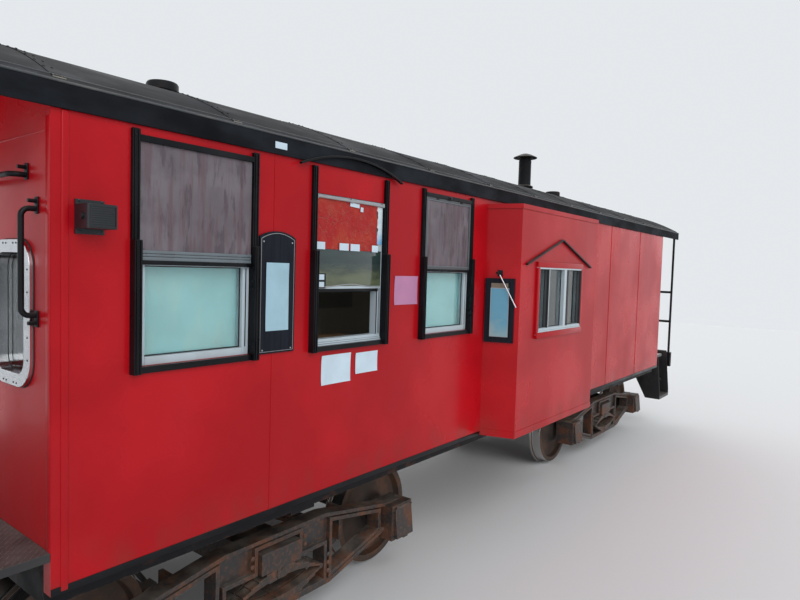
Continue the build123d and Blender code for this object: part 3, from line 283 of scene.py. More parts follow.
def paintRed(name, withInside):
    tree, shader = newMaterial(name, {
        "Coat Weight": 0.07, "Coat Roughness": 0.06, "Specular IOR Level": 0.16})
    tone = patches(tree, scale=1.1, low=0.38, high=0.66)
    chalk = patches(tree, scale=2.3, stretch=(1, 1, 0.35), low=0.52, high=0.78)
    atFoot = oneMinus(tree, ramp(tree, split(tree, objectPlace(tree))["Z"], 1.03, 1.32))
    grime = times(tree, atFoot,
                  patches(tree, scale=7.0, stretch=(1, 1, 0.6), low=0.35, high=0.75))
    colour = layered(tree, colours["redShade"], (tone, 1, colours["red"]),
                     (chalk, 0.10, colours["redChalk"]), (grime, 0.35, colours["redGrime"]))
    if withInside:
        colour = layered(tree, colour, (mask(tree, insideGroup), 1, colours["cream"]))
    wave = patches(tree, scale=2.1, stretch=(1, 1, 0.55), low=0.25, high=0.8, detail=1.0)
    peel = patches(tree, scale=190.0, low=0.2, high=0.8, detail=2.0)
    dress(tree, shader, colour, [(wave, 0.0045), (peel, 0.00012)], (tone, 0.36, 0.24))


def paintBlack(name, dusty=0.25, rough=(0.3, 0.46), rubbed=0.0, rusty=0.0):
    tree, shader = newMaterial(name, {"Specular IOR Level": 0.16})
    tone = patches(tree, scale=4.0, low=0.35, high=0.7)
    colour = layered(tree, colours["black"], (tone, 1, colours["blackWorn"]))
    if rusty:
        spots = patches(tree, scale=9.0, low=0.56, high=0.72, detail=8.0)
        colour = layered(tree, colour, (spots, rusty, colours["rust"]))
    if rubbed:
        worn = mask(tree, rubGroup, radius=0.006)
        colour = layered(tree, colour, (worn, rubbed, colours["blackRubbed"]))
    colour = layered(tree, colour, (mask(tree, dustGroup, scale=3.5), dusty, colours["dust"]))
    wave = patches(tree, scale=5.0, low=0.2, high=0.8, detail=2.0)
    fine = patches(tree, scale=150.0, low=0.2, high=0.8, detail=2.0)
    dress(tree, shader, colour, [(wave, 0.0012), (fine, 0.00015)], (tone, *rough))


def roofPaint(name):
    # black on top, red soffit over the platforms, cream ceiling in the cabin
    tree, shader = newMaterial(name, {"Specular IOR Level": 0.10})
    tone = patches(tree, scale=2.2, stretch=(1, 2, 2), low=0.3, high=0.7)
    glare = patches(tree, scale=5.5, stretch=(0.5, 1, 1), low=0.45, high=0.7)
    dust = mask(tree, dustGroup, scale=2.0, low=0.25)
    place = split(tree, objectPlace(tree))
    along, across = (calc(tree, "ABSOLUTE", place[axis]) for axis in "XY")
    below = times(tree, calc(tree, "LESS_THAN", split(tree, facing(tree))["Z"], -0.4),
                  calc(tree, "LESS_THAN", across, 1.329))
    soffit = calc(tree, "GREATER_THAN", along, 4.58)
    ceiling = layered(tree, colours["cream"], (soffit, 1, colours["red"]))
    colour = layered(tree, colours["black"], (tone, 1, colours["roofWorn"]),
                     (glare, 0.2, colours["roofGlare"]), (dust, 0.22, colours["roofDust"]),
                     (below, 1, ceiling))
    grit = patches(tree, scale=120.0, low=0.2, high=0.8)
    dress(tree, shader, colour, [(tone, 0.002), (grit, 0.0002)], (glare, 0.82, 0.68))


def castSteel(name, base, rusty, rough=(0.5, 0.75)):
    tree, shader = newMaterial(name, {})
    spots = patches(tree, scale=6.5, low=0.46, high=0.66, detail=8.0)
    fine = patches(tree, scale=38.0, low=0.45, high=0.7, detail=6.0)
    colour = layered(tree, base, (spots, rusty, colours["rust"]),
                     (fine, rusty * 0.5, colours["rustFine"]),
                     (mask(tree, rubGroup, radius=0.01), 0.5, colours["rustEdge"]),
                     (mask(tree, dustGroup, scale=8.0), 0.6, colours["dust"]))
    sand = patches(tree, scale=110.0, low=0.2, high=0.8, detail=4.0)
    dress(tree, shader, colour, [(spots, 0.0008), (sand, 0.0005)], (spots, *rough))


def wheelSteel(name, centre):
    # bright tread and rim edge round this axle, brown rust on the plate, dark oil by the hub
    tree, shader = newMaterial(name, {})
    place = addNode(tree, "Mapping")
    place.inputs["Location"].default_value = [-value for value in centre]
    give(tree, objectPlace(tree), place.inputs["Vector"])
    parts = split(tree, place.outputs[0])
    radius = calc(tree, "SQRT", calc(tree, "ADD", calc(tree, "POWER", parts["X"], 2.0),
                                     calc(tree, "POWER", parts["Z"], 2.0)))
    flat = calc(tree, "ABSOLUTE", split(tree, facing(tree))["Y"])
    tread = times(tree, ramp(tree, radius, 0.408, 0.414),
                  oneMinus(tree, ramp(tree, flat, 0.55, 0.8)))
    rusty = patches(tree, scale=7.0, low=0.4, high=0.68, detail=8.0)
    streak = patches(tree, scale=30.0, low=0.4, high=0.7, detail=5.0)
    oily = oneMinus(tree, ramp(tree, radius, 0.13, 0.21))
    colour = layered(tree, colours["plateDark"], (rusty, 1, colours["plateRust"]),
                     (streak, 0.4, colours["plateStreak"]), (oily, 0.7, colours["oil"]),
                     (tread, 1, colours["steel"]))
    give(tree, blendValue(tree, tread, 0.15, 0.95), shader.inputs["Metallic"])
    pitted = times(tree, patches(tree, scale=60.0, low=0.2, high=0.8), oneMinus(tree, tread))
    dress(tree, shader, colour, [(pitted, 0.0006)], (tread, 0.68, 0.24))


def plainPlastic(name, base, rough, dirt=0.25, dirtColour=colours["soil"]):
    tree, shader = newMaterial(name, {})
    soiled = patches(tree, scale=8.0, stretch=(1, 1, 0.4), low=0.45, high=0.8)
    grit = patches(tree, scale=140.0, low=0.2, high=0.8)
    dress(tree, shader, layered(tree, base, (soiled, dirt, dirtColour)), [(grit, 0.00008)],
          (soiled, rough, rough + 0.2))


def screenFabric(name):
    # grey-brown weathered cloth with upright purple-brown streaks and a fine weave
    tree, shader = newMaterial(name, {"Specular IOR Level": 0.3})
    cloud = patches(tree, scale=6.0, low=0.35, high=0.65, detail=7.0)
    streak = patches(tree, scale=9.0, stretch=(3.2, 1, 0.28), low=0.46, high=0.64)
    stain = patches(tree, scale=16.0, stretch=(1.8, 1, 0.4), low=0.52, high=0.66, detail=7.0)
    grime = patches(tree, scale=3.0, low=0.44, high=0.62)
    colour = layered(tree, colours["clothDark"], (cloud, 1, colours["clothPale"]),
                     (grime, 0.45, colours["clothGrime"]), (streak, 0.62, colours["clothStreak"]),
                     (stain, 0.6, colours["clothStain"]))
    weave = patches(tree, scale=420.0, low=0.3, high=0.7, detail=1.0)
    dress(tree, shader, colour, [(streak, 0.0006), (weave, 0.00025)], (cloud, 0.45, 0.62))


def byHeight(tree, cloud, waver, low, high):
    # a mask that grows from 0 at one height to 1 at another, with a cloudy edge
    height = calc(tree, "ADD", split(tree, objectPlace(tree))["Z"], times(tree, cloud, waver))
    return ramp(tree, height, low, high)


def glassWithPaintedReflection(name, upper, lower, rough, low, high):
    # a pane that lets some of the light through, one colour above a wavy line and another towards
    # its foot, with darker patches: a painted reflection
    tree, shader = newMaterial(name, {
        "Transmission Weight": 0.3, "IOR": 1.45, "Metallic": 0.0, "Coat Weight": 0.5,
        "Coat Roughness": 0.05})
    band = patches(tree, scale=6.0, stretch=(0.6, 1, 2.6), low=0.35, high=0.7)
    colour = layered(tree, lower, (byHeight(tree, band, 0.03, low, high), 1, upper),
                     (band, 0.5, shade(upper, 0.5)))
    dress(tree, shader, colour, [(band, 0.0012)], (band, rough, rough * 2))


def clearGlass(name, tint):
    tree, shader = newMaterial(name, {
        "Transmission Weight": 1.0, "IOR": 1.45, "Metallic": 0.0, "Roughness": 0.015})
    haze = patches(tree, scale=5.0, low=0.3, high=0.8)
    wave = patches(tree, scale=3.0, low=0.2, high=0.8, detail=1.0)
    dress(tree, shader, layered(tree, tint, (haze, 1, shade(tint, 0.92))), [(wave, 0.0006)])


def brushedMetal(name, base, rough):
    tree, shader = newMaterial(name, {"Metallic": 1.0})
    lines = patches(tree, scale=40.0, stretch=(1, 1, 30), low=0.3, high=0.7)
    stain = patches(tree, scale=9.0, low=0.5, high=0.75)
    dress(tree, shader, layered(tree, base, (stain, 0.4, shade(base, 0.55))),
          [(lines, 0.00006), (stain, 0.0002)], (lines, rough, rough + 0.14))


def wood(name, light, dark, grainStretch=(0.6, 14, 14), boards=0.0, rough=0.55, gloss=0.5):
    tree, shader = newMaterial(name, {"Specular IOR Level": gloss})
    grain = patches(tree, scale=5.0, stretch=grainStretch, low=0.35, high=0.68, detail=7.0)
    colour = layered(tree, light, (grain, 1, dark))
    layers = [(grain, 0.0004)]
    if boards:
        tone = mask(tree, plankGroup, "Tone", width=boards)
        groove = mask(tree, plankGroup, "Groove", width=boards)
        colour = layered(tree, colour, (tone, 0.35, shade(dark, 0.5)),
                         (groove, 1, shade(dark, 0.12)))
        layers.insert(0, (oneMinus(tree, groove), 0.003))
    dress(tree, shader, colour, layers, (grain, rough, rough + 0.15))


def treadSteel(name):
    tree, shader = newMaterial(name, {"Coat Weight": 0.1})
    raised = mask(tree, treadGroup, "Height", pitch=0.034)
    worn = patches(tree, scale=4.0, low=0.4, high=0.7)
    dust = mask(tree, dustGroup, scale=4.0, low=0.25)
    colour = layered(tree, colours["plateGrey"], (worn, 1, colours["plateWorn"]),
                     (dust, 0.5, colours["dust"]), (raised, 0.4, colours["plateBright"]))
    dress(tree, shader, colour, [(raised, 0.0022)], (worn, 0.4, 0.62))


def paper(name, base, crumple=0.0008, scale=18.0):
    tree, shader = newMaterial(name, {"Roughness": 0.6})
    fold = patches(tree, scale=scale, low=0.2, high=0.8, detail=3.0)
    tone = patches(tree, scale=6.0, low=0.3, high=0.8)
    dress(tree, shader, layered(tree, base, (tone, 1, shade(base, 0.86))), [(fold, crumple)])


def crinkledSheet(name, base, warm):
    # thin glossy sheet: warm patches, fine creases that run down and across, with a painted pale
    # highlight along each crease line
    tree, shader = newMaterial(name, {"Specular IOR Level": 0.22, "Roughness": 0.22})
    patch = patches(tree, scale=7.0, low=0.42, high=0.7)
    creaseLine = calc(tree, "SUBTRACT", noise(tree, 17, 4), 0.5)
    crease = ramp(tree, calc(tree, "ABSOLUTE", creaseLine), 0.0, 0.035)
    # the pale coat along the crease lines is a painted highlight
    colour = layered(tree, base, (patch, 0.5, warm),
                     (oneMinus(tree, crease), 0.16, colours["creaseHighlight"]))
    ruffle = patches(tree, scale=26.0, low=0.3, high=0.7)
    dress(tree, shader, colour, [(patch, 0.004), (crease, 0.0022), (ruffle, 0.003)])


def fadedPicture(name, upper, lower, low, high):
    # a bare sheet that fades from one colour to the other with height
    tree, shader = newMaterial(name, {"Roughness": 0.32, "Coat Weight": 0.4})
    cloud = patches(tree, scale=9.0, low=0.3, high=0.7)
    dress(tree, shader, layered(tree, lower, (byHeight(tree, cloud, 0.12, low, high), 1, upper)),
          [(cloud, 0.0003)])


paintRed("redPaint", True)
paintRed("redTrim", False)
paintBlack("blackPaint")
paintBlack("blackGear", dusty=0.6, rough=(0.45, 0.65), rubbed=0.6, rusty=0.35)
paintBlack("windowBlack", dusty=0.2, rough=(0.26, 0.4))
roofPaint("roofPaint")
castSteel("castSteel", (0.028, 0.026, 0.026), 0.75)
castSteel("springSteel", (0.035, 0.03, 0.027), 0.85)
castSteel("couplerSteel", (0.045, 0.036, 0.03), 0.9, rough=(0.45, 0.7))
screenFabric("screenCloth")
clearGlass("paneGlass", (0.93, 0.98, 0.97))
# dark above and pale green below a wavy line: a painted reflection on the raised pane
glassWithPaintedReflection("greenGlassReflection", (0.045, 0.075, 0.075), (0.17, 0.20, 0.11), 0.06, 2.42, 2.54)
brushedMetal("alloy", (0.66, 0.68, 0.71), 0.12)
brushedMetal("rodSteel", (0.58, 0.58, 0.6), 0.3)
wood("navyBoard", (0.008, 0.011, 0.019), (0.005, 0.007, 0.012), grainStretch=(9, 9, 0.5),
     rough=0.5, gloss=0.15)
wood("counterWood", (0.36, 0.22, 0.11), (0.21, 0.11, 0.05), rough=0.3)
wood("floorBoards", (0.23, 0.17, 0.12), (0.12, 0.08, 0.05), boards=0.11)
treadSteel("treadSteel")
# the vinyl's colour carries painted shade: white vinyl darkened to a bluish grey
plainPlastic("vinyl", colours["vinyl"], 0.3)
plainPlastic("paleBoard", (0.45, 0.82, 0.84), 0.4, 0.45, (0.68, 0.86, 0.78))
plainPlastic("screenRail", (0.14, 0.17, 0.19), 0.4, 0.4, (0.10, 0.11, 0.12))
plainPlastic("screenFrame", (0.075, 0.082, 0.09), 0.45, 0.4, (0.12, 0.12, 0.13))
# teal colour of the painted highlight line inside the screen frames
plainPlastic("screenFrameHighlight", (0.16, 0.21, 0.23), 0.45)
plainPlastic("mountBoard", (0.19, 0.155, 0.11), 0.5)
plainPlastic("rubber", (0.012, 0.012, 0.013), 0.6, 0.2, (0.05, 0.05, 0.05))
plainPlastic("speakerCase", (0.006, 0.009, 0.012), 0.4, 0.3, (0.018, 0.028, 0.040))
plainPlastic("lightTrim", (0.33, 0.34, 0.35), 0.4)
plainPlastic("dullTrim", (0.06, 0.065, 0.07), 0.5)
paper("paleCloth", (0.40, 0.38, 0.33), crumple=0.002, scale=9.0)
# near-black cloth for the blinds behind the panes, a painted stand-in for the shade inside the
# cabin
paper("shadowBlindCloth", (0.045, 0.05, 0.05), crumple=0.002, scale=9.0)
# white paper painted a pale blue, as it looks in the shade under a blue sky
paper("shadedWhitePaper", (0.62, 0.76, 0.86))
paper("pinkPaper", (0.52, 0.23, 0.40))
paper("menuPaper", (0.36, 0.56, 0.66))
paper("posterEdge", (0.34, 0.40, 0.44))
crinkledSheet("redSheet", (0.38, 0.014, 0.014), (0.46, 0.055, 0.018))
fadedPicture("blueStrip", (0.66, 0.76, 0.80), (0.12, 0.36, 0.66), 2.70, 2.86)
fadedPicture("poster", (0.09, 0.34, 0.50), (0.26, 0.42, 0.45), 1.94, 2.2)
for letter, end in ends:
    for number, way in ((1, -1), (2, 1)):
        wheelSteel("wheel%s%d" % (letter, number),
                   (end * car["truckPlace"] + way * car["axlePlace"], 0, car["axleHeight"]))
print("materials made:", len(finishes))


# mesh helpers
def addBlock(bm, first, second, rounding=0.0, segments=2):
    # a block between two opposite corners, in any order, with its edges rounded if asked
    low, high = (Vector([pick(pair) for pair in zip(first, second)]) for pick in (min, max))
    made = bmesh.ops.create_cube(bm, size=1, matrix=Matrix.Translation((low + high) / 2)
                                 @ Matrix.Diagonal((*(high - low), 1)))
    if rounding:
        edges = list({edge for vert in made["verts"] for edge in vert.link_edges})
        bmesh.ops.bevel(bm, geom=edges, offset=rounding, offset_type="OFFSET", affect="EDGES",
                        segments=segments, profile=0.5, material=-1, clamp_overlap=True)


def addSlab(bm, low, high, side, near, far, rounding=0.0, segments=2):
    # a block between two places along and up the wall and two depths on one side of the car
    addBlock(bm, (low[0], side * near, low[1]), (high[0], side * far, high[1]), rounding, segments)


def ring(bm, low, high, width, side, near, far):
    # four bars inside an opening in the wall, between two corners
    (left, foot), (right, top) = low, high
    addSlab(bm, low, (right, foot + width), side, near, far)
    addSlab(bm, (left, top - width), high, side, near, far)
    addSlab(bm, (left, foot + width), (left + width, top - width), side, near, far)
    addSlab(bm, (right - width, foot + width), (right, top - width), side, near, far)


def addGrid(bm, low, high, across, steps):
    # an upright grid in the wall's plane; gives its vertices
    middle = ((low[0] + high[0]) / 2, across, (low[1] + high[1]) / 2)
    made = bmesh.ops.create_grid(
        bm, x_segments=steps[0], y_segments=steps[1], size=0.5,
        matrix=Matrix.Translation(middle) @ Matrix.Rotation(math.radians(90), 4, "X")
        @ Matrix.Diagonal((high[0] - low[0], high[1] - low[1], 1, 1)))
    return made["verts"]


def thicken(bm, verts, thickness):
    faces = list({face for vert in verts for face in vert.link_faces})
    bmesh.ops.solidify(bm, geom=faces, thickness=thickness)


def addRod(bm, start, end, radius, sides=16, endRadius=None):
    axis = Vector(end) - Vector(start)
    turn = axis.to_track_quat("Z", "Y").to_matrix().to_4x4()
    middle = (Vector(start) + Vector(end)) / 2
    bmesh.ops.create_cone(bm, cap_ends=True, segments=sides, radius1=radius,
                          radius2=radius if endRadius is None else endRadius,
                          depth=axis.length, matrix=Matrix.Translation(middle) @ turn)


def addHead(bm, place, outward, radius, height, sides=8):
    # a domed fastener head: a drum with a narrower top
    place, outward = Vector(place), Vector(outward).normalized()
    addRod(bm, place - outward * 0.001, place + outward * height * 0.45, radius, sides)
    addRod(bm, place + outward * height * 0.45, place + outward * height, radius, sides,
           radius * 0.55)


def addNut(bm, place, outward, size, height):
    place, outward = Vector(place), Vector(outward).normalized()
    addRod(bm, place - outward * 0.001, place + outward * height * 0.2, size * 0.75, 12)
    addRod(bm, place + outward * height * 0.2, place + outward * height, size * 0.55, 6)


def addLathe(bm, profile, centre, axis, steps=48):
    # profile: pairs of radius and place along the axis, spun right round
    centre, axis = Vector(centre), Vector(axis).normalized()
    side = axis.orthogonal().normalized()
    points = [bm.verts.new(centre + side * radius + axis * along) for radius, along in profile]
    edges = [bm.edges.new(pair) for pair in zip(points, points[1:])]
    bmesh.ops.spin(bm, geom=points + edges, cent=centre, axis=axis, dvec=(0, 0, 0),
                   angle=2 * math.pi, steps=steps, use_merge=True, use_duplicate=False)
    bmesh.ops.remove_doubles(bm, verts=bm.verts, dist=0.00002)
    bmesh.ops.recalc_face_normals(bm, faces=bm.faces)


def finishPiece(name, bm, finish, body="carbody", smoothAngle=38):
    limit = math.radians(smoothAngle)
    for face in bm.faces:
        face.smooth = True
    for edge in bm.edges:
        edge.smooth = len(edge.link_faces) == 2 and edge.calc_face_angle(0) < limit
    mesh = bpy.data.meshes.new(name)
    bm.to_mesh(mesh)
    bm.free()
    mesh.materials.append(finishes[finish])
    piece = bpy.data.objects.new(name, mesh)
    scene.collection.objects.link(piece)
    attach(piece, body)
    return piece


def blockPiece(name, finish, rounding, *blocks):
    # each block: left and right, two depths across the car, low and high
    bm = bmesh.new()
    for left, right, near, far, low, high in blocks:
        addBlock(bm, (left, near, low), (right, far, high), rounding)
    finishPiece(name, bm, finish)


def roundedPath(points, radius, steps=6, closed=False):
    # straight runs joined by arcs, for bent bars and gasket lines
    points = [Vector(point) for point in points]
    count = len(points)
    path = [] if closed else [points[0]]
    for place in range(count) if closed else range(1, count - 1):
        corner = points[place]
        back = (points[place - 1] - corner).normalized()
        ahead = (points[(place + 1) % count] - corner).normalized()
        half = back.angle(ahead) / 2
        reach = radius / math.tan(half)
        centre = corner + (back + ahead).normalized() * radius / math.sin(half)
        start, end = corner + back * reach - centre, corner + ahead * reach - centre
        for step in range(steps + 1):
            share = step / steps
            path.append(centre + (start * (1 - share) + end * share).normalized() * radius)
    if not closed:
        path.append(points[-1])
    return path


def barPiece(name, paths, radius, finish, body="carbody", closed=False,
             sides=3):
    # round bars along paths, made from a bevelled curve and kept as a mesh
    curve = bpy.data.curves.new(name, "CURVE")
    curve.dimensions = "3D"
    curve.bevel_depth = radius
    curve.bevel_resolution = sides
    curve.use_fill_caps = True
    for path in paths:
        spline = curve.splines.new("POLY")
        spline.points.add(len(path) - 1)
        for point, place in zip(spline.points, path):
            point.co = (*place, 1)
        spline.use_cyclic_u = closed
    holder = bpy.data.objects.new(name + "Line", curve)
    mesh = bpy.data.meshes.new_from_object(holder)
    bpy.data.objects.remove(holder)
    bm = bmesh.new()
    bm.from_mesh(mesh)
    bpy.data.meshes.remove(mesh)
    return finishPiece(name, bm, finish, body)


softAngle = 30  # degrees between faces from which an edge counts as hard


def softened(nodeName, width, finish, body="carbody", segments=2):
    # a merged copy of a CAD node with its hard edges rounded, standing for that node
    bm = bmesh.new()
    bm.from_mesh(nodes[nodeName].data)
    bmesh.ops.remove_doubles(bm, verts=bm.verts, dist=0.00005)
    bmesh.ops.dissolve_limit(bm, angle_limit=math.radians(0.8), verts=bm.verts, edges=bm.edges)
    piece = finishPiece(nodeName + "Body", bm, finish, body, smoothAngle=softAngle)
    rounding = piece.modifiers.new("rounding", "BEVEL")
    rounding.width = width
    rounding.segments = segments
    rounding.limit_method = "ANGLE"
    rounding.angle_limit = math.radians(softAngle)
    rounding.harden_normals = True
    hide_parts(nodeName)


# CAD nodes that keep their shape
nodeFinish = {
    "redPaint": ("side_wall_near", "side_wall_far", "bay_near", "bay_far", "end_wall_a",
                 "end_wall_b"),
    "roofPaint": ("roof",),
    "floorBoards": ("floor",),
    "paneGlass": ("window_glass", "bay_window_glass", "end_window_glass", "door_glass_a",
                  "door_glass_b"),
    "paleBoard": ("menu_boards",),
    "blackGear": ("centre_sill", "cross_bearers", "body_bolsters", "side_sills",
                  "platform_beams"),
    "rodSteel": ("prop_rod",),
}
for finish, names in nodeFinish.items():
    for name in names:
        for place in nodes[name].material_slots:
            place.material = finishes[finish]

# CAD nodes whose edges are rounded: width of the rounding, finish
roundings = {
    "window_frames": (0.002, "windowBlack"),
    "window_sashes": (0.003, "vinyl"),
    "bay_window_frames": (0.003, "vinyl"),
    "end_window_frames": (0.004, "alloy"),
    "door_frames": (0.003, "redTrim"),
    "drip_rails": (0.003, "blackPaint"),
    "menu_sign": (0.003, "navyBoard"),
    "poster_frame": (0.004, "navyBoard"),
    "service_counter": (0.003, "counterWood"),
    "speaker": (0.003, "speakerCase"),
    "end_sills": (0.004, "blackGear"),
    "platform_a": (0.003, "treadSteel"),
    "platform_b": (0.003, "treadSteel"),
    "steps": (0.0015, "treadSteel"),
    "end_rails_a": (0.002, "blackPaint"),
    "end_rails_b": (0.002, "blackPaint"),
    "couplers": (0.012, "couplerSteel"),
    "air_brake_gear": (0.004, "blackGear"),
}
for name, (width, finish) in roundings.items():
    softened(name, width, finish)
for letter, end in ends:
    softened("truck_frames_" + letter, 0.007, "castSteel", "truck_" + letter, segments=3)
    softened("truck_bolster_" + letter, 0.006, "castSteel", "truck_" + letter)
    softened("leaf_springs_" + letter, 0.0015, "springSteel", "truck_" + letter)
    softened("brake_beams_" + letter, 0.004, "castSteel", "truck_" + letter)
    softened("door_" + letter, 0.003, "redPaint", "door_" + letter)
print("frame dressed")

# wheelsets: a coned tread, rounded flange, dished plate and hub, spun as one piece
wheel = {
    "steps": 96, "back": 0.678, "face": 0.818, "tread": 0.4191, "axle": 0.082,
    "journal": 0.065, "reach": 1.1,
}


def wheelProfile():
    back, face, tread = wheel["back"], wheel["face"], wheel["tread"]
    half = [
        (wheel["axle"], 0.0), (wheel["axle"] - 0.004, 0.30), (wheel["axle"], 0.60),
        (0.098, back - 0.034), (0.118, back - 0.03), (0.13, back - 0.018), (0.136, back + 0.006),
        (0.165, back + 0.024), (0.24, back + 0.036), (0.31, back + 0.03), (0.345, back + 0.012),
        (0.362, back + 0.001), (0.43, back), (0.4425, back + 0.0035), (0.4468, back + 0.0095),
        (0.4471, back + 0.014), (0.4455, back + 0.0205), (0.438, back + 0.0285),
        (0.427, back + 0.033), (0.4215, back + 0.039), (tread, back + 0.048),
        (tread - 0.0032, face - 0.010), (tread - 0.006, face - 0.002), (tread - 0.010, face),
        (0.368, face), (0.362, face - 0.004), (0.358, face - 0.028), (0.345, face - 0.052),
        (0.31, face - 0.062), (0.24, face - 0.052), (0.17, face - 0.03), (0.142, face + 0.004),
        (0.134, face + 0.036), (0.126, face + 0.040), (0.088, face + 0.040),
        (0.084, face + 0.046), (0.076, face + 0.056), (wheel["journal"], face + 0.062),
        (wheel["journal"], wheel["reach"] - 0.004), (wheel["journal"] - 0.004, wheel["reach"]),
        (0.0, wheel["reach"]),
    ]
    return [(radius, -along) for radius, along in reversed(half[1:])] + half


for letter, end in ends:
    for number, way in ((1, -1), (2, 1)):
        name = "wheelset_%s_%d" % (letter, number)
        along = end * car["truckPlace"] + way * car["axlePlace"]
        bm = bmesh.new()
        addLathe(bm, wheelProfile(), (along, 0, car["axleHeight"]), (0, 1, 0), wheel["steps"])
        piece = finishPiece(name + "_body", bm, "wheel%s%d" % (letter, number), name)
        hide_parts(name)
print("wheelsets spun")

# body: weld seams and a weld band on the sides, strips and seams at the corners
weld = {"along": (-3.388, 2.215, 3.42), "radius": 0.004, "band": (-4.550, -4.518), "back": 1.32,
        "bulge": 0.006, "lineFrom": 0.42, "line": 3.032, "corner": 1.288, "cornerTop": 3.09,
        "proud": 0.004}
bm = bmesh.new()
for side in ways:
    wall = side * car["side"]
    for along in weld["along"]:
        addRod(bm, (along, wall, car["foot"] + 0.01), (along, wall, car["top"]), weld["radius"], 10)
    addSlab(bm, (weld["band"][0], car["foot"] + 0.01), (weld["band"][1], car["top"]), side,
            weld["back"], car["side"] + weld["bulge"], 0.0055, 4)
    for end in ways:
        face, corner = end * car["end"], side * weld["corner"]
        addBlock(bm, (face, corner, car["floor"]),
                 (face + end * weld["proud"], wall, weld["cornerTop"]), 0.0012)
        addRod(bm, (face, side * weld["lineFrom"], weld["line"]), (face, corner, weld["line"]),
               weld["radius"], 10)
finishPiece("weldSeams", bm, "redTrim")

# black strip along the foot of the walls, trim rods along the roof's edges
skirt = {"bay": 0.985, "top": 1.062, "proud": 0.004}
bm = bmesh.new()
for side in ways:
    for start, stop in ((-car["end"], -skirt["bay"]), (skirt["bay"], car["end"])):
        addSlab(bm, (start, car["foot"]), (stop, skirt["top"]), side, car["side"],
                car["side"] + skirt["proud"], 0.001)
finishPiece("footStrip", bm, "blackPaint")

roofEdge = {"reach": 5.455, "rods": ((1.348, 3.2325, 0.0055), (1.29, 3.2672, 0.004))}
bm = bmesh.new()
for side in ways:
    for across, height, radius in roofEdge["rods"]:
        addRod(bm, (-roofEdge["reach"], side * across, height),
               (roofEdge["reach"], side * across, height), radius, 10)
finishPiece("roofEdgeTrim", bm, "dullTrim")

# roof laps: flat straps over the arch, each spun from a small rectangle, with rivets
lap = {"places": (-5.42, -4.55, -3.64, -2.73, -1.82, -0.91, 0.0, 0.91, 1.82, 2.73, 3.64, 4.55,
                  5.42),
       "width": 0.055, "height": 0.003, "sunk": -0.002, "halfAngle": 29.6, "steps": 24,
       "rivets": 27, "rows": (-0.017, 0.017), "head": 0.006, "headHeight": 0.003}
bm = bmesh.new()
for along in lap["places"]:
    corners = []
    for shift, rise in ((-0.5, lap["sunk"]), (0.5, lap["sunk"]), (0.5, lap["height"]),
                        (-0.5, lap["height"])):
        corners.append(bm.verts.new((along + shift * lap["width"], 0,
                                     car["roofAxis"] + car["roofRadius"] + rise)))
    section = bm.faces.new(corners)
    turn = Matrix.Rotation(math.radians(-lap["halfAngle"]), 4, "X")
    centre = Matrix.Translation((0, 0, car["roofAxis"]))
    bmesh.ops.transform(bm, matrix=centre @ turn @ centre.inverted(), verts=corners)
    bmesh.ops.spin(bm, geom=[section], cent=(0, 0, car["roofAxis"]), axis=(1, 0, 0),
                   dvec=(0, 0, 0), angle=math.radians(2 * lap["halfAngle"]), steps=lap["steps"])
bmesh.ops.recalc_face_normals(bm, faces=bm.faces)
for along in lap["places"][1:-1]:
    for step in range(lap["rivets"]):
        angle = math.radians(lap["halfAngle"] * 0.98 * (2 * step / (lap["rivets"] - 1) - 1))
        out = Vector((0, math.sin(angle), math.cos(angle)))
        for shift in lap["rows"]:
            foot = Vector((along + shift, 0, car["roofAxis"])) + out * (
                car["roofRadius"] + lap["height"])
            addHead(bm, foot, out, lap["head"], lap["headHeight"], 6)
finishPiece("roofLaps", bm, "roofPaint")

# smoke jack with storm collar and cap, and two round vents
jack = {"place": (1.5, -0.42, 0), "vents": (-3.3, 3.3), "steps": 40}
jackProfile = [(0.0, 3.30), (0.075, 3.30), (0.075, 3.575), (0.108, 3.578), (0.112, 3.59),
               (0.079, 3.612), (0.078, 3.90), (0.081, 3.905), (0.078, 3.91), (0.076, 3.935),
               (0.062, 3.95), (0.062, 3.953), (0.146, 3.951), (0.150, 3.955), (0.147, 3.961),
               (0.075, 3.995), (0.036, 4.008), (0.0, 4.0102)]
ventProfile = [(0.0, 3.545), (0.076, 3.545), (0.076, 3.592), (0.112, 3.594), (0.114, 3.606),
               (0.078, 3.614), (0.076, 3.69), (0.104, 3.691), (0.110, 3.697), (0.110, 3.742),
               (0.102, 3.754), (0.07, 3.7592), (0.0, 3.7602)]
bm = bmesh.new()
addLathe(bm, jackProfile, jack["place"], (0, 0, 1), jack["steps"])
for along in jack["vents"]:
    addLathe(bm, ventProfile, (along, 0, 0), (0, 0, 1), jack["steps"])
piece = finishPiece("roofPipes", bm, "blackGear")
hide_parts("roof_vents")
print("body trim made")

# side windows: side of the car, place along it, height of the covered pane's rail, covered
sideWindows = [(-1, -3.88, 2.4944, True), (-1, -2.737, 2.3544, False), (-1, -1.6, 2.4944, True),
               (1, -3.88, 2.4944, True), (1, -2.737, 2.4944, True), (1, -1.6, 2.4944, True)]
tracks = {"half": 0.327, "low": 1.9944, "openTop": 2.93, "insets": (0.007, 0.018, 0.03),
          "width": 0.0035, "face": 1.322, "proud": 0.004}
reveal = {"inner": 0.3254, "outer": 0.3275, "low": 1.993, "high": 3.045, "near": 1.3226,
          "far": 1.3306}
stile = {"inner": 0.3015, "outer": 0.3075, "low": 2.037, "drop": 0.025, "near": 1.320,
         "far": 1.3236}
glazing = {"half": 0.2847, "low": 2.0337, "drop": 0.0213, "width": 0.006, "depth": 0.005,
           "face": 1.2952}
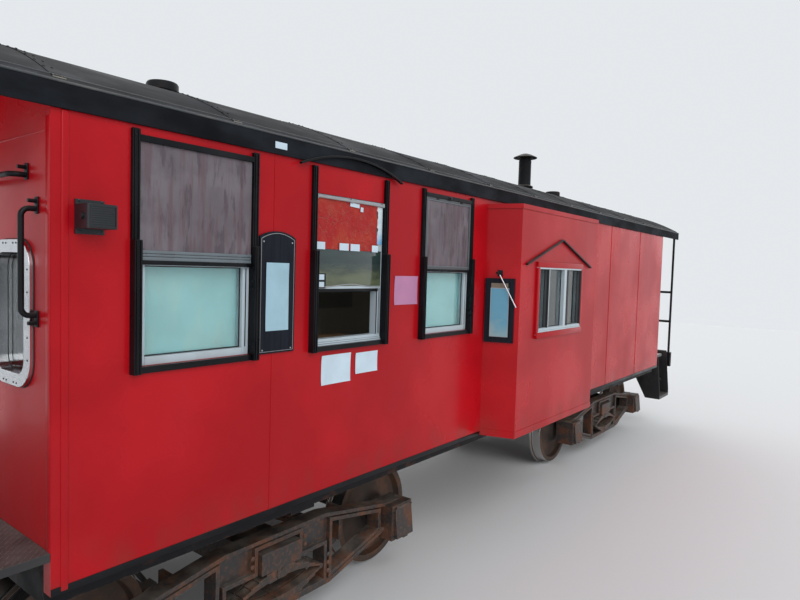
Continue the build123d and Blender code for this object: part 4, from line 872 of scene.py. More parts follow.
# covered windows: cloth over the raised screen, a pale rail under it or a dark frame round it with
# a painted teal highlight line along its inner edge
screen = {"half": 0.3215, "top": 3.049, "face": 1.3395, "thick": 0.0012, "billow": 0.0035,
          "ripple": 0.0007, "steps": 20, "back": 1.336, "frame": 0.024, "proud": 1.3445,
          "line": 0.0035, "lineBack": 1.340, "barBack": 1.323, "bar": 1.3475,
          "rails": ((0.003, 0.020, 0.0), (0.022, 0.034, -0.0018), (0.036, 0.051, 0.0))}
clips = {"shift": 0.17, "half": 0.022, "low": 3.037, "high": 3.047, "near": 1.3403, "far": 1.3465}
# the black surround is deeper below the step than above it
surround = {"step": 2.5914, "low": 1.965, "high": 3.098, "gap": 0.004, "deep": 0.047,
            "thin": 0.022, "ribs": (0.3365, 0.3555), "width": 0.0035, "proud": 0.005,
            "screws": (1.975, 2.13, 2.36, 2.55, 2.75, 2.93, 3.07), "screwShift": 0.346}


def addCloth(bm, low, high, side):
    # one sheet that bulges a little towards the outside between its fixed edges
    verts = addGrid(bm, low, high, side * screen["face"], (screen["steps"], screen["steps"]))
    for vert in verts:
        u = (vert.co.x - low[0]) / (high[0] - low[0])
        v = (vert.co.z - low[1]) / (high[1] - low[1])
        swell = max(0.0, math.sin(math.pi * u) * math.sin(math.pi * v)) ** 0.6
        vert.co.y += side * swell * (screen["billow"]
                                     + screen["ripple"] * math.sin(31 * u + 5 * v))
    thicken(bm, verts, screen["thick"])


(trackMesh, gasketMesh, railMesh, screwMesh, blackMesh, clothMesh, frameMesh,
 highlightMesh) = (bmesh.new() for _ in range(8))
for side, place, rail, covered in sideWindows:
    for way in ways:
        for inset in tracks["insets"]:
            x = place + way * (tracks["half"] - inset)
            addSlab(trackMesh, (x - tracks["width"] / 2, tracks["low"]),
                    (x + tracks["width"] / 2, rail - 0.002 if covered else tracks["openTop"]),
                    side, tracks["face"], tracks["face"] + tracks["proud"], 0.001)
        addSlab(blackMesh, (place + way * reveal["inner"], reveal["low"]),
                (place + way * reveal["outer"], reveal["high"]), side, reveal["near"],
                reveal["far"])
        if side < 0 or covered:
            addSlab(blackMesh, (place + way * stile["inner"], stile["low"]),
                    (place + way * stile["outer"], rail - stile["drop"]), side, stile["near"],
                    stile["far"])
        for shift in surround["ribs"]:
            x = place + way * shift
            for low, high, depth in (
                    (surround["low"], surround["step"] - surround["gap"], surround["deep"]),
                    (surround["step"] + surround["gap"], surround["high"], surround["thin"])):
                base = car["side"] + depth
                addSlab(blackMesh, (x - surround["width"] / 2, low),
                        (x + surround["width"] / 2, high), side, base - 0.001,
                        base + surround["proud"], 0.001)
        for height in surround["screws"]:
            proud = surround["deep"] if height < surround["step"] else surround["thin"]
            addHead(screwMesh, (place + way * surround["screwShift"],
                                side * (car["side"] + proud), height),
                    (0, side, 0), 0.005, 0.0025, 8)
    if not covered:
        continue
    left, right, top = place - screen["half"], place + screen["half"], screen["top"]
    bare = side < 0 and place < -3  # the window whose screen has no frame
    ring(gasketMesh, (place - glazing["half"], glazing["low"]),
         (place + glazing["half"], rail - glazing["drop"]), glazing["width"], side,
         glazing["face"], glazing["face"] + glazing["depth"])
    addCloth(clothMesh, (left, rail + 0.045 if bare else rail + 0.01), (right, top), side)
    addSlab(blackMesh, (left - 0.001, rail - 0.018), (right + 0.001, rail + 0.003), side,
            screen["barBack"], screen["bar"], 0.002)
    if bare:
        for low, high, proud in screen["rails"]:
            addSlab(railMesh, (left, rail + low), (right, rail + high), side, screen["back"],
                    screen["proud"] + proud, 0.0012)
        continue
    foot, inset = rail + 0.004, screen["frame"] - screen["line"]
    ring(frameMesh, (left, foot), (right, top), screen["frame"], side, screen["back"],
         screen["proud"])
    # a lighter teal ring inside the frame: a painted highlight
    ring(highlightMesh, (left + inset, foot + inset), (right - inset, top - inset), screen["line"],
         side, screen["lineBack"], screen["proud"] + 0.0008)
    for way in ways:
        x = place + way * clips["shift"]
        addSlab(blackMesh, (x - clips["half"], clips["low"]), (x + clips["half"], clips["high"]),
                side, clips["near"], clips["far"], 0.0015)
finishPiece("windowTracks", trackMesh, "vinyl")
finishPiece("paneGaskets", gasketMesh, "rubber")
cloth = finishPiece("screenCloths", clothMesh, "screenCloth", smoothAngle=60)
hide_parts("window_screens")
finishPiece("screenRails", railMesh, "screenRail")
finishPiece("screenFrames", frameMesh, "screenFrame")
finishPiece("screenFrameHighlights", highlightMesh, "screenFrameHighlight")
finishPiece("surroundBars", blackMesh, "windowBlack")
finishPiece("surroundScrews", screwMesh, "windowBlack")

# screen latch at the head of the third window, and dark blinds behind the panes: near-black sheets
# that paint the shade inside the cabin
latch = {"plate": ((-1.640, -1.354, 3.046), (-1.582, -1.343, 3.074)), "rounding": 0.003,
         "pin": ((-1.611, -1.354, 3.060), (-1.611, -1.364, 3.060)), "radius": 0.006}
bm = bmesh.new()
addBlock(bm, *latch["plate"], latch["rounding"])
addRod(bm, *latch["pin"], latch["radius"], 12)
finishPiece("screenLatch", bm, "windowBlack")

shadowBlind = {"half": 0.33, "top": 3.05, "foot": 2.02, "hatchFoot": 2.56, "near": 1.252, "far": 1.255,
         "roll": 0.016, "rollAcross": 1.238, "rollRise": 0.012, "hem": 0.018,
         "hemDepth": (1.247, 1.257)}
bm = bmesh.new()
for side, place, rail, covered in sideWindows:
    if side < 0 and covered:
        continue
    left, right = place - shadowBlind["half"], place + shadowBlind["half"]
    foot = shadowBlind["foot"] if side > 0 else shadowBlind["hatchFoot"]
    addSlab(bm, (left, foot), (right, shadowBlind["top"]), side, shadowBlind["near"], shadowBlind["far"], 0.001)
    rollHeight = shadowBlind["top"] + shadowBlind["rollRise"]
    addRod(bm, (left, side * shadowBlind["rollAcross"], rollHeight),
           (right, side * shadowBlind["rollAcross"], rollHeight), shadowBlind["roll"], 20)
    addSlab(bm, (left, foot - shadowBlind["hem"]), (right, foot), side, *shadowBlind["hemDepth"], 0.002)
finishPiece("shadowBlinds", bm, "shadowBlindCloth")
bayShade = {"sheet": ((-0.56, 1.560, 1.95), (0.46, 1.562, 2.56)), "rounding": 0.0008,
            "roll": ((-0.56, 1.548, 2.572), (0.46, 1.548, 2.572)), "radius": 0.014}
bm = bmesh.new()
addBlock(bm, *bayShade["sheet"], bayShade["rounding"])
addRod(bm, *bayShade["roll"], bayShade["radius"], 20)
finishPiece("bayBlind", bm, "paleCloth")

# serving window: rod, hanging red sheet, raised pane, labels, and a lip on the sill
serving = {"left": -3.062, "right": -2.412, "rodHeight": 2.925, "rodAcross": -1.336,
           "rodDrop": 0.004, "rod": 0.0075, "brackets": (-3.055, -2.74, -2.42),
           "bracket": (0.009, -1.342, -1.322, 0.014),
           "sheetRight": -2.474, "sheetLow": 2.604, "sheetHigh": 2.918, "sheetAcross": -1.3285,
           "sheetThick": 0.0008, "sheetSteps": (60, 34), "pull": 0.16,
           "glassLow": 2.366, "glassGap": 0.012, "glassFace": -1.3265, "glassBack": -1.3225,
           "edge": 0.0028, "edgeSteps": 32}
bm = bmesh.new()
addRod(bm, (serving["left"], serving["rodAcross"], serving["rodHeight"]),
       (serving["right"], serving["rodAcross"], serving["rodHeight"] - serving["rodDrop"]),
       serving["rod"])
half, near, far, rise = serving["bracket"]
for along in serving["brackets"]:
    addBlock(bm, (along - half, near, serving["rodHeight"] - rise),
             (along + half, far, serving["rodHeight"] + rise), 0.003)
finishPiece("hatchRod", bm, "lightTrim")

bm = bmesh.new()
verts = addGrid(bm, (serving["left"], serving["sheetLow"]),
                (serving["sheetRight"], serving["sheetHigh"]), serving["sheetAcross"],
                serving["sheetSteps"])
for vert in verts:
    x, z = vert.co.x * 34, vert.co.z * 31
    fold = math.sin(x + 1.7 * math.sin(z * 0.7)) * math.cos(z * 0.9 + math.sin(x * 0.8))
    crease = abs(math.sin(0.9 * x + 0.55 * z)) ** 0.5 - abs(math.sin(0.5 * x - 0.8 * z)) ** 0.5
    pull = max(0.0, (vert.co.x - serving["sheetRight"] + serving["pull"]) / serving["pull"])
    vert.co.y += 0.0014 * fold + 0.0012 * crease + 0.0022 * pull * math.sin(z * 1.6 + x * 2.2)
thicken(bm, verts, serving["sheetThick"])
hanging = finishPiece("hangingSheet", bm, "redSheet", smoothAngle=60)

bm = bmesh.new()
glassRight = serving["right"] - serving["glassGap"]
addBlock(bm, (serving["left"], serving["glassFace"], serving["glassLow"] + 0.004),
         (glassRight, serving["glassBack"], serving["sheetLow"] + 0.004), 0.0008)
finishPiece("raisedGlass", bm, "greenGlassReflection")

# a pale strip with a ragged left edge beside the sheet, and two scraps of tape under the rod
strip = {"left": -2.470, "right": -2.420, "low": 2.655, "high": 2.912, "across": -1.3275,
         "steps": (1, 26), "thick": 0.0006}
bm = bmesh.new()
verts = addGrid(bm, (strip["left"], strip["low"]), (strip["right"], strip["high"]),
                strip["across"], strip["steps"])
for vert in verts:
    if vert.co.x < (strip["left"] + strip["right"]) / 2:
        z = vert.co.z * 60
        vert.co.x += 0.007 * math.sin(z) + 0.004 * math.sin(2.7 * z + 1.0)
thicken(bm, verts, strip["thick"])
finishPiece("colourStrip", bm, "blueStrip")
tape = {"scraps": ((-2.755, -2.665, 2.886, 2.912), (-2.652, -2.625, 2.866, 2.896)),
        "near": -1.3330, "far": -1.3322, "centre": (-2.69, -1.3326, 2.89), "turn": 0.06}
bm = bmesh.new()
for left, right, low, high in tape["scraps"]:
    addBlock(bm, (left, tape["near"], low), (right, tape["far"], high))
bmesh.ops.rotate(bm, cent=tape["centre"], matrix=Matrix.Rotation(tape["turn"], 3, "Y"),
                 verts=bm.verts)
finishPiece("tapeScraps", bm, "shadedWhitePaper")

# hatch: stepped sill, dark rebate under the pane and along the open half, wavy edge, labels
blockPiece("hatchSill", "vinyl", 0.002, (-3.06, -2.414, -1.336, -1.30, 1.9915, 2.001),
           (-3.06, -2.414, -1.331, -1.318, 2.004, 2.013),
           (-3.06, -2.414, -1.327, -1.318, 2.016, 2.025))
blockPiece("hatchRebate", "windowBlack", 0.001,
           (-3.056, -2.418, -1.3238, -1.321, 2.331, 2.352),
           (-2.4555, -2.4475, -1.3238, -1.321, 2.034, 2.331),
           (-2.4225, -2.4185, -1.3238, -1.321, 2.034, 2.331))
wave = []
for step in range(serving["edgeSteps"] + 1):
    share = step / serving["edgeSteps"]
    wave.append((serving["left"] + share * (glassRight - serving["left"]), serving["glassFace"],
                 serving["glassLow"] + 0.010 * math.sin(math.pi * share) ** 2
                 - 0.004 * math.sin(9 * share)))
barPiece("glassEdge", [wave], serving["edge"], "lightTrim")
blockPiece("blankLabels", "shadedWhitePaper", 0, (-3.057, -2.977, -1.3325, -1.3318, 2.600, 2.646),
           (-2.847, -2.760, -1.3325, -1.3318, 2.600, 2.646),
           (-2.742, -2.652, -1.3325, -1.3318, 2.600, 2.646),
           (-2.527, -2.464, -1.3325, -1.3318, 2.600, 2.646),
           (-3.038, -2.974, -1.3285, -1.3278, 2.362, 2.396),
           (-3.038, -2.974, -1.3285, -1.3278, 2.409, 2.443))
blockPiece("labelBacks", "windowBlack", 0, (-3.050, -2.960, -1.3282, -1.3268, 2.355, 2.402),
           (-3.050, -2.960, -1.3282, -1.3268, 2.402, 2.449))
print("side windows made")

# bay sliders: red boards on the flange, a pale sill, a red ledge, seals round the panes, and dark
# strips on the mullions and jamb reveals that are painted shade, where a gap or a shaded side shows
# dark
slider = {"left": -0.582, "right": 0.478, "low": 1.9244, "high": 2.5844, "rim": 0.043,
          "back": 1.62, "near": 1.647, "face": 1.6515, "round": 0.006,
          "panes": ((-0.525, -0.357), (-0.321, 0.018), (0.114, 0.421)),
          "paneLow": 1.9814, "paneHigh": 2.5274, "seal": 0.005, "play": 0.0003,
          "sealDepth": (1.6065, 1.6115), "ledge": (1.63, 1.656), "sill": 1.6555,
          "sillStep": 1.6525, "mullionFace": 1.6495,
          "mullions": ((-0.355, -0.339, 0.002), (0.068, 0.112, 0.002), (0.4215, 0.4325, 0.0)),
          "revealShade": ((-0.3585, -0.3565), (0.4195, 0.4215)), "revealDepths": (1.612, 1.634, 1.6485)}
redMesh, sealAndShadeMesh, paleMesh, revealShadeMesh = (bmesh.new() for _ in range(4))
left, right, low, high = (slider[key] for key in ("left", "right", "low", "high"))
rim, near, face = slider["rim"], slider["near"], slider["face"]
paneLow, paneHigh = slider["paneLow"], slider["paneHigh"]
for side in ways:
    addSlab(redMesh, (left - 0.001, high - rim), (right + 0.001, high + 0.010), side,
            slider["back"], face, slider["round"], 4)
    for start, stop in ((left - 0.001, left + rim), (right - rim, right + 0.001)):
        addSlab(redMesh, (start, low), (stop, high - rim), side, slider["back"], face,
                slider["round"], 4)
    for start, stop in ((left + rim - 0.004, left + rim), (right - rim, right - rim + 0.004)):
        addSlab(sealAndShadeMesh, (start, low + 0.048), (stop, high - rim - 0.014), side, near,
                face + 0.0006)
    addSlab(redMesh, (left + 0.002, low - 0.034), (right + 0.004, low + 0.020), side,
            *slider["ledge"], 0.004)
    addSlab(paleMesh, (left + rim - 0.01, low + 0.021), (right - rim + 0.01, low + 0.033), side,
            near, slider["sill"], 0.002)
    addSlab(paleMesh, (left + rim, low + 0.035), (right - rim, low + 0.047), side, near,
            slider["sillStep"], 0.002)
    # dark strips on the mullions: painted shade standing for a gap and the dark cabin behind it
    for start, stop, over in slider["mullions"]:
        addSlab(sealAndShadeMesh, (start, paneLow - over), (stop, paneHigh + over), side, near,
                slider["mullionFace"], 0.001)
    # the jamb reveals are painted dark as shade
    for start, stop in slider["revealShade"]:
        back, middle, front = slider["revealDepths"]
        addSlab(sealAndShadeMesh, (start, paneLow), (stop, paneHigh), side, middle, front)
        addSlab(revealShadeMesh, (start, paneLow), (stop, paneHigh), side, back, middle)
    for start, stop in slider["panes"]:
        play = slider["play"]
        ring(sealAndShadeMesh, (start + play, paneLow + play), (stop - play, paneHigh - play),
             slider["seal"], side, *slider["sealDepth"])
finishPiece("bayBoards", redMesh, "redTrim")
finishPiece("bayRevealShade", revealShadeMesh, "screenFrame")
finishPiece("baySills", paleMesh, "vinyl")
finishPiece("bayGasketsAndShade", sealAndShadeMesh, "rubber")


def roundedFrame(across, height, size, radius, along):
    half, rise = size[0] / 2, size[1] / 2
    corners = [(along, across + y * half, height + z * rise)
               for y, z in ((-1, -1), (1, -1), (1, 1), (-1, 1))]
    return roundedPath(corners, radius, 8, closed=True)


# end windows: black gasket round the flange and round the pane, rivets in the flange
endWindow = {"across": 0.9525, "height": 2.2419, "size": (0.428, 0.672), "radius": 0.1315,
             "pane": (0.304, 0.548), "paneRadius": 0.07, "paneDepth": 0.026,
             "rivetReach": (0.1945, 0.3165), "rivetFace": 0.022, "rivet": 0.0048,
             "topRivets": (-0.075, -0.041, 0.04, 0.074), "sideRivets": (-0.2, -0.1, 0.0, 0.1, 0.2)}
outer, inner = [], []
bm = bmesh.new()
for end in ways:
    for side in ways:
        y, z = side * endWindow["across"], endWindow["height"]
        outer.append(roundedFrame(y, z, endWindow["size"], endWindow["radius"],
                                  end * (car["end"] + 0.002)))
        inner.append(roundedFrame(y, z, endWindow["pane"], endWindow["paneRadius"],
                                  end * (car["end"] - endWindow["paneDepth"])))
        half, rise = endWindow["rivetReach"]
        spots = [(shift, way * rise) for way in ways for shift in endWindow["topRivets"]]
        spots += [(way * half, height) for way in ways for height in endWindow["sideRivets"]]
        for shift, height in spots:
            addHead(bm, (end * (car["end"] + endWindow["rivetFace"]), y + shift, z + height),
                    (end, 0, 0), endWindow["rivet"], 0.0022, 8)
barPiece("windowSeals", outer, 0.003, "rubber", closed=True)
barPiece("innerSeals", inner, 0.0025, "rubber", closed=True)
finishPiece("windowRivets", bm, "windowBlack")

# end doors: seal round the pane, push plate, kick plate with screws
door = {"face": 4.575, "paneHeight": 2.5544, "pane": (0.326, 0.646), "paneRadius": 0.063,
        "seal": 0.005, "kick": (0.31, 1.245, 1.375), "kickThick": 0.003,
        "screws": (-0.29, -0.15, 0.0, 0.15, 0.29), "push": (0.27, 0.035, 2.09, 2.32)}
for letter, end in ends:
    body, face = "door_" + letter, end * door["face"]
    seal = roundedFrame(0, door["paneHeight"], door["pane"], door["paneRadius"], face)
    barPiece("doorSeal_" + letter, [seal], door["seal"], "rubber", body, closed=True)
    bm = bmesh.new()
    half, low, high = door["kick"]
    plateFace = face + end * door["kickThick"]
    addBlock(bm, (face, -half, low), (plateFace, half, high), 0.001)
    for y in door["screws"]:
        for z in (low + 0.013, high - 0.013):
            addHead(bm, (plateFace, y, z), (end, 0, 0), 0.005, 0.002, 8)
    shift, half, low, high = door["push"]
    addBlock(bm, (face, -end * shift - half, low), (face + end * 0.004, -end * shift + half, high),
             0.002)
    finishPiece("doorPlates_" + letter, bm, "alloy", body)
print("bay and end openings made")


# things fixed to the near side
def sheetPiece(name, finish, across, *sheets):
    # papers with their corners lifted a little off the wall
    bm = bmesh.new()
    for low, high, lift in sheets:
        verts = addGrid(bm, low, high, across, (12, 12))
        for vert in verts:
            u = abs(2 * (vert.co.x - low[0]) / (high[0] - low[0]) - 1)
            v = abs(2 * (vert.co.z - low[1]) / (high[1] - low[1]) - 1)
            vert.co.y -= lift * (u * v) ** 4 + 0.0006 * math.sin(9 * vert.co.x + 14 * vert.co.z)
        thicken(bm, verts, 0.0005)
    finishPiece(name, bm, finish, smoothAngle=60)


sheetPiece("wallPapers", "shadedWhitePaper", -1.3325, ((-2.986, 1.738), (-2.716, 1.928), 0.004),
           ((-2.666, 1.776), (-2.438, 1.918), 0.003))
sheetPiece("pinkNotice", "pinkPaper", -1.3325, ((-2.268, 2.230), (-1.99, 2.440), 0.004))
blockPiece("bandLabel", "shadedWhitePaper", 0, (-3.405, -3.318, -1.3492, -1.348, 3.155, 3.192))

# sign board: pale line inside its crowned edge, four screws, bare sheet
sign = {"left": -3.488, "right": -3.244, "low": 1.996, "high": 2.6744, "crown": 0.034,
        "line": 0.0018, "face": 1.345, "steps": 16, "screws": ((-3.472, -3.260), (2.624, 2.006)),
        "screw": (0.005, 0.0025, 10)}
outline = [(sign["left"], -sign["face"], sign["low"])]
for step in range(sign["steps"] + 1):
    share = step / sign["steps"]
    outline.append((sign["left"] + share * (sign["right"] - sign["left"]), -sign["face"],
                    sign["high"] - sign["crown"] * (2 * share - 1) ** 2))
outline.append((sign["right"], -sign["face"], sign["low"]))
barPiece("signLine", [outline], sign["line"], "lightTrim", closed=True,
         sides=1)
bm = bmesh.new()
for along in sign["screws"][0]:
    for height in sign["screws"][1]:
        addHead(bm, (along, -sign["face"], height), (0, -1, 0), *sign["screw"])
finishPiece("signScrews", bm, "lightTrim")
sheetPiece("signSheet", "menuPaper", -1.3465, ((-3.452, 2.115), (-3.283, 2.506), 0.002))

# speaker: rim and slats on the front, a mounting knob on each side
speaker = {"left": -4.495, "right": -4.367, "low": 2.6254, "high": 2.7304, "face": 1.46,
           "rim": 0.006, "slats": 8, "slatStep": 0.0095, "knob": 0.014, "knobReach": 0.009,
           "knobAcross": -1.405, "knobHeight": 2.678, "screwAcross": -1.342,
           "screws": ((-4.48, -4.38), (2.614, 2.747)), "screw": (0.006, 0.003, 8)}
bm = bmesh.new()
rim = speaker["rim"]
ring(bm, (speaker["left"] + rim, speaker["low"] + rim),
     (speaker["right"] - rim, speaker["high"] - rim), rim, -1, speaker["face"] - 0.001,
     speaker["face"] + 0.0035)
for step in range(speaker["slats"]):
    height = speaker["low"] + 0.019 + step * speaker["slatStep"]
    addSlab(bm, (speaker["left"] + 2 * rim, height - 0.002),
            (speaker["right"] - 2 * rim, height + 0.002), -1, speaker["face"] - 0.001,
            speaker["face"] + 0.0025, 0.0008)
for x, way in ((speaker["left"], -1), (speaker["right"], 1)):
    addRod(bm, (x, speaker["knobAcross"], speaker["knobHeight"]),
           (x + way * speaker["knobReach"], speaker["knobAcross"], speaker["knobHeight"]),
           speaker["knob"])
for height in speaker["screws"][1]:
    for along in speaker["screws"][0]:
        addHead(bm, (along, speaker["screwAcross"], height), (0, -1, 0), *speaker["screw"])
finishPiece("speakerFront", bm, "speakerCase")

# poster on the slanted wall of the near bay: bare sheet, pale inner edge, board behind it,
# corner screws, and a small hook above the frame
slantX = Vector((0.09, -0.3, 0)).normalized()
slantOut = Vector((-0.3, -0.09, 0)).normalized()
slantWall = Matrix.Translation((-0.98, -car["side"], car["floor"])) @ Matrix(
    (slantX, (0, 0, 1), slantOut)).transposed().to_4x4()
poster = {"posterSheet": ("poster", (0.064, 0.702, 0.014), (0.216, 1.12, 0.0152)),
          "posterBorder": ("posterEdge", (0.058, 0.696, 0.014), (0.222, 1.126, 0.0149)),
          "posterMount": ("mountBoard", (0.062, 0.700, 0.0135), (0.212, 1.168, 0.0146))}


def slantPiece(name, bm, finish):
    bmesh.ops.transform(bm, matrix=slantWall, verts=bm.verts)
    bmesh.ops.recalc_face_normals(bm, faces=bm.faces)
    finishPiece(name, bm, finish)


for name, (finish, low, high) in poster.items():
    bm = bmesh.new()
    addBlock(bm, low, high)
    slantPiece(name, bm, finish)
hook = {"screws": ((0.022, 0.258), (0.66, 1.196), 0.02), "screw": (0.006, 0.003, 10),
        "plate": ((0.112, 1.228, 0.0), (0.158, 1.282, 0.006)), "rounding": 0.002,
        "rods": (((0.135, 1.248, 0.0), (0.135, 1.248, 0.052), 0.011, 16),
                 ((0.135, 1.248, 0.047), (0.118, 1.262, 0.047), 0.0075, 12),
                 ((0.118, 1.262, 0.047), (0.108, 1.252, 0.047), 0.0075, 12))}
bm = bmesh.new()
for x in hook["screws"][0]:
    for y in hook["screws"][1]:
        addHead(bm, (x, y, hook["screws"][2]), (0, 0, 1), *hook["screw"])
addBlock(bm, *hook["plate"], hook["rounding"])
for rod in hook["rods"]:
    addRod(bm, *rod)
slantPiece("posterScrews", bm, "windowBlack")
print("wall fittings made")

# ends: grab irons, each a bent bar on two plates with a bolt
grab = {"radius": 0.0125, "reach": 0.066, "bend": 0.034, "width": 0.034, "height": 0.072,
        "plate": 0.008, "shift": 0.016, "lug": 0.0085, "lugLength": 0.04, "nut": (0.016, 0.012),
        "upright": ((1.2, 2.2444), (1.2, 2.7044)), "level": ((1.093, 2.8564), (0.6, 2.8564))}
bars = []
bm = bmesh.new()
for end in ways:
    wall, out = end * car["end"], end * (car["end"] + grab["reach"])
    plateFace = wall + end * grab["plate"]
    for side in ways:
        for (first, last), shift in ((grab["upright"], -grab["shift"]),
                                     (grab["level"], grab["shift"])):
            feet = [(side * first[0], first[1]), (side * last[0], last[1])]
            bars.append(roundedPath([(wall, *feet[0]), (out, *feet[0]), (out, *feet[1]),
                                     (wall, *feet[1])], grab["bend"]))
            for (y, z), way in ((feet[0], shift), (feet[1], grab["shift"])):
                half, rise, bolt = grab["width"] / 2, grab["height"] / 2, z + way * 2.1
                addBlock(bm, (wall, y - half, z + way - rise),
                         (plateFace, y + half, z + way + rise), 0.002)
                addRod(bm, (wall, y, bolt), (wall + end * grab["lugLength"], y, bolt),
                       grab["lug"], 12)
                addNut(bm, (plateFace, y, bolt), (end, 0, 0), *grab["nut"])
irons = barPiece("grabBars", bars, grab["radius"], "blackPaint")
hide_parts("grab_irons")
finishPiece("grabFeet", bm, "blackPaint")

# hand brake: post, rounded case, and a dished wheel with round rim and spokes
brake = {"across": 0.64, "place": 5.29, "height": 2.0604, "post": 0.028, "base": 0.055,
         "baseTop": 1.2344, "bolts": 0.04, "case": (0.12, 0.18, 0.22), "caseRound": 0.05,
         "shaft": 0.022, "shaftReach": 0.122, "wheelReach": 0.11, "rim": 0.268, "tube": 0.012,
         "spokes": 5,
         "hub": ((0.0, -0.02), (0.03, -0.02), (0.045, -0.012), (0.045, 0.012), (0.03, 0.02),
                 (0.0, 0.02))}
for letter, end in ends:
    x, y, z = end * brake["place"], end * brake["across"], brake["height"]
    base, spread = brake["base"], brake["bolts"]
    bm = bmesh.new()
    addRod(bm, (x, y, car["floor"]), (x, y, z), brake["post"], 28)
    addBlock(bm, (x - base, y - base, car["floor"]), (x + base, y + base, brake["baseTop"]), 0.003)
    for dx in ways:
        for dy in ways:
            addNut(bm, (x + dx * spread, y + dy * spread, brake["baseTop"]), (0, 0, 1), 0.011,
                   0.009)
    case = bmesh.ops.create_cube(bm, size=1, matrix=Matrix.Translation((x, y, z))
                                 @ Matrix.Diagonal((*brake["case"], 1)))
    edges = {edge for vert in case["verts"] for edge in vert.link_edges}
    alongCar = [edge for edge in edges if abs(edge.verts[0].co.x - edge.verts[1].co.x) > 0.1]
    bmesh.ops.bevel(bm, geom=alongCar, offset=brake["caseRound"], offset_type="OFFSET",
                    affect="EDGES", segments=6, profile=0.5, material=-1)
    addRod(bm, (x, y, z), (x - end * brake["shaftReach"], y, z), brake["shaft"], 24)
    for dz in (-0.078, 0.078):
        for dy in (-0.063, 0.063):
            addNut(bm, (x - end * 0.06, y + dy, z + dz), (-end, 0, 0), 0.01, 0.008)
    centre = Vector((x - end * brake["wheelReach"], y, z))
    rimSection = [(brake["rim"] + brake["tube"] * math.cos(math.radians(angle)),
                   brake["tube"] * math.sin(math.radians(angle))) for angle in range(0, 361, 36)]
    addLathe(bm, rimSection, centre, (1, 0, 0), 64)
    addLathe(bm, brake["hub"], centre, (1, 0, 0), 32)
    for step in range(brake["spokes"]):
        angle = 2 * math.pi * step / brake["spokes"] + math.pi / 2
        ray = Vector((0, math.cos(angle), math.sin(angle)))
        addRod(bm, centre + ray * 0.03, centre + ray * brake["rim"], 0.011, 12, 0.0085)
    piece = finishPiece("handBrake_" + letter, bm, "blackGear")
    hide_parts("brake_stand_" + letter)

# uncoupling levers along the end sills, pins and bolts at the couplers
lever = {"radius": 0.011, "height": 1.085, "along": 5.505, "foot": (1.24, 0.955), "bend": 0.03,
         "inner": 0.14, "tip": (5.60, 0.06, 1.07), "straps": (1.12, 0.34), "strap": 0.02}
sill = {"face": 5.46, "strapFace": 5.52, "rows": (0.985, 1.15), "heads": (0.6, 0.9, 1.2),
        "strikerFace": 5.5, "nuts": (0.80, 0.87, 0.94, 1.01), "nutAcross": 0.2}
pin = {"along": 5.715, "across": 0.12, "foot": 0.7524, "top": 1.06, "radius": 0.02,
       "headFoot": 1.0554, "headTop": 1.066, "head": 0.034}
levers = []
bm = bmesh.new()
for end in ways:
    x, z, half = end * lever["along"], lever["height"], lever["strap"]
    outer, foot = lever["foot"]
    tipX, tipY, tipZ = lever["tip"]
    levers.append(roundedPath([(x, -end * outer, foot), (x, -end * outer, z),
                               (x, -end * lever["inner"], z), (end * tipX, -end * tipY, tipZ)],
                              lever["bend"]))
    for across in lever["straps"]:
        addBlock(bm, (end * sill["face"], -end * across - half, z - half),
                 (end * sill["strapFace"], -end * across + half, z + half), 0.003)
    for side in ways:
        for z in sill["nuts"]:
            addNut(bm, (end * sill["strikerFace"], side * sill["nutAcross"], z), (end, 0, 0),
                   0.013, 0.01)
        for across in sill["heads"]:
            for z in sill["rows"]:
                addHead(bm, (end * sill["face"], side * across, z), (end, 0, 0), 0.011, 0.007, 10)
    x, y = end * pin["along"], end * pin["across"]
    addRod(bm, (x, y, pin["foot"]), (x, y, pin["top"]), pin["radius"], 20)
    addRod(bm, (x, y, pin["headFoot"]), (x, y, pin["headTop"]), pin["head"], 20)
barPiece("couplingLevers", levers, lever["radius"], "blackGear")
finishPiece("endSillBolts", bm, "blackGear")
print("end fittings made")

# under the floor: train pipe with its hangers, a bent branch, brake rod and lever
pipe = {"radius": 0.017, "across": 0.41, "height": 1.036, "reach": 5.38, "bend": 0.03,
        "branch": ((0.2, 0.56, 0.70), (0.2, 0.56, 0.60), (0.2, 0.25, 0.60), (0.2, 0.25, 0.90)),
        "hangers": 9, "hangerStep": 1.1, "hangerFrom": -4.1, "hangerTop": 1.164,
        "hangerHalf": (0.015, 0.024), "hangerDrop": 0.022}
brakeRod = {"rod": ((0.81, -0.56, 0.8744), (1.30, -0.56, 0.8744)), "radius": 0.02,
            "lever": ((1.27, -0.60, 0.845), (1.33, -0.18, 0.9)), "rounding": 0.004,
            "nutPlaces": (-0.55, 0.55), "nutRows": (0.7694, 0.8994), "nutAcross": 0.75,
            "nut": (0.012, 0.01)}
bm = bmesh.new()
for step in range(pipe["hangers"]):
    x, (halfX, halfY) = pipe["hangerFrom"] + step * pipe["hangerStep"], pipe["hangerHalf"]
    addBlock(bm, (x - halfX, pipe["across"] - halfY, pipe["height"] - pipe["hangerDrop"]),
             (x + halfX, pipe["across"] + halfY, pipe["hangerTop"]), 0.002)
addRod(bm, *brakeRod["rod"], brakeRod["radius"])
addBlock(bm, *brakeRod["lever"], brakeRod["rounding"])
for x in brakeRod["nutPlaces"]:
    for z in brakeRod["nutRows"]:
        addNut(bm, (x, brakeRod["nutAcross"], z), (0, 1, 0), *brakeRod["nut"])
barPiece("trainPipe", [[(-pipe["reach"], pipe["across"], pipe["height"]),
                        (pipe["reach"], pipe["across"], pipe["height"])],
                       roundedPath(pipe["branch"], pipe["bend"])], pipe["radius"], "blackGear")
finishPiece("pipeHangers", bm, "blackGear")

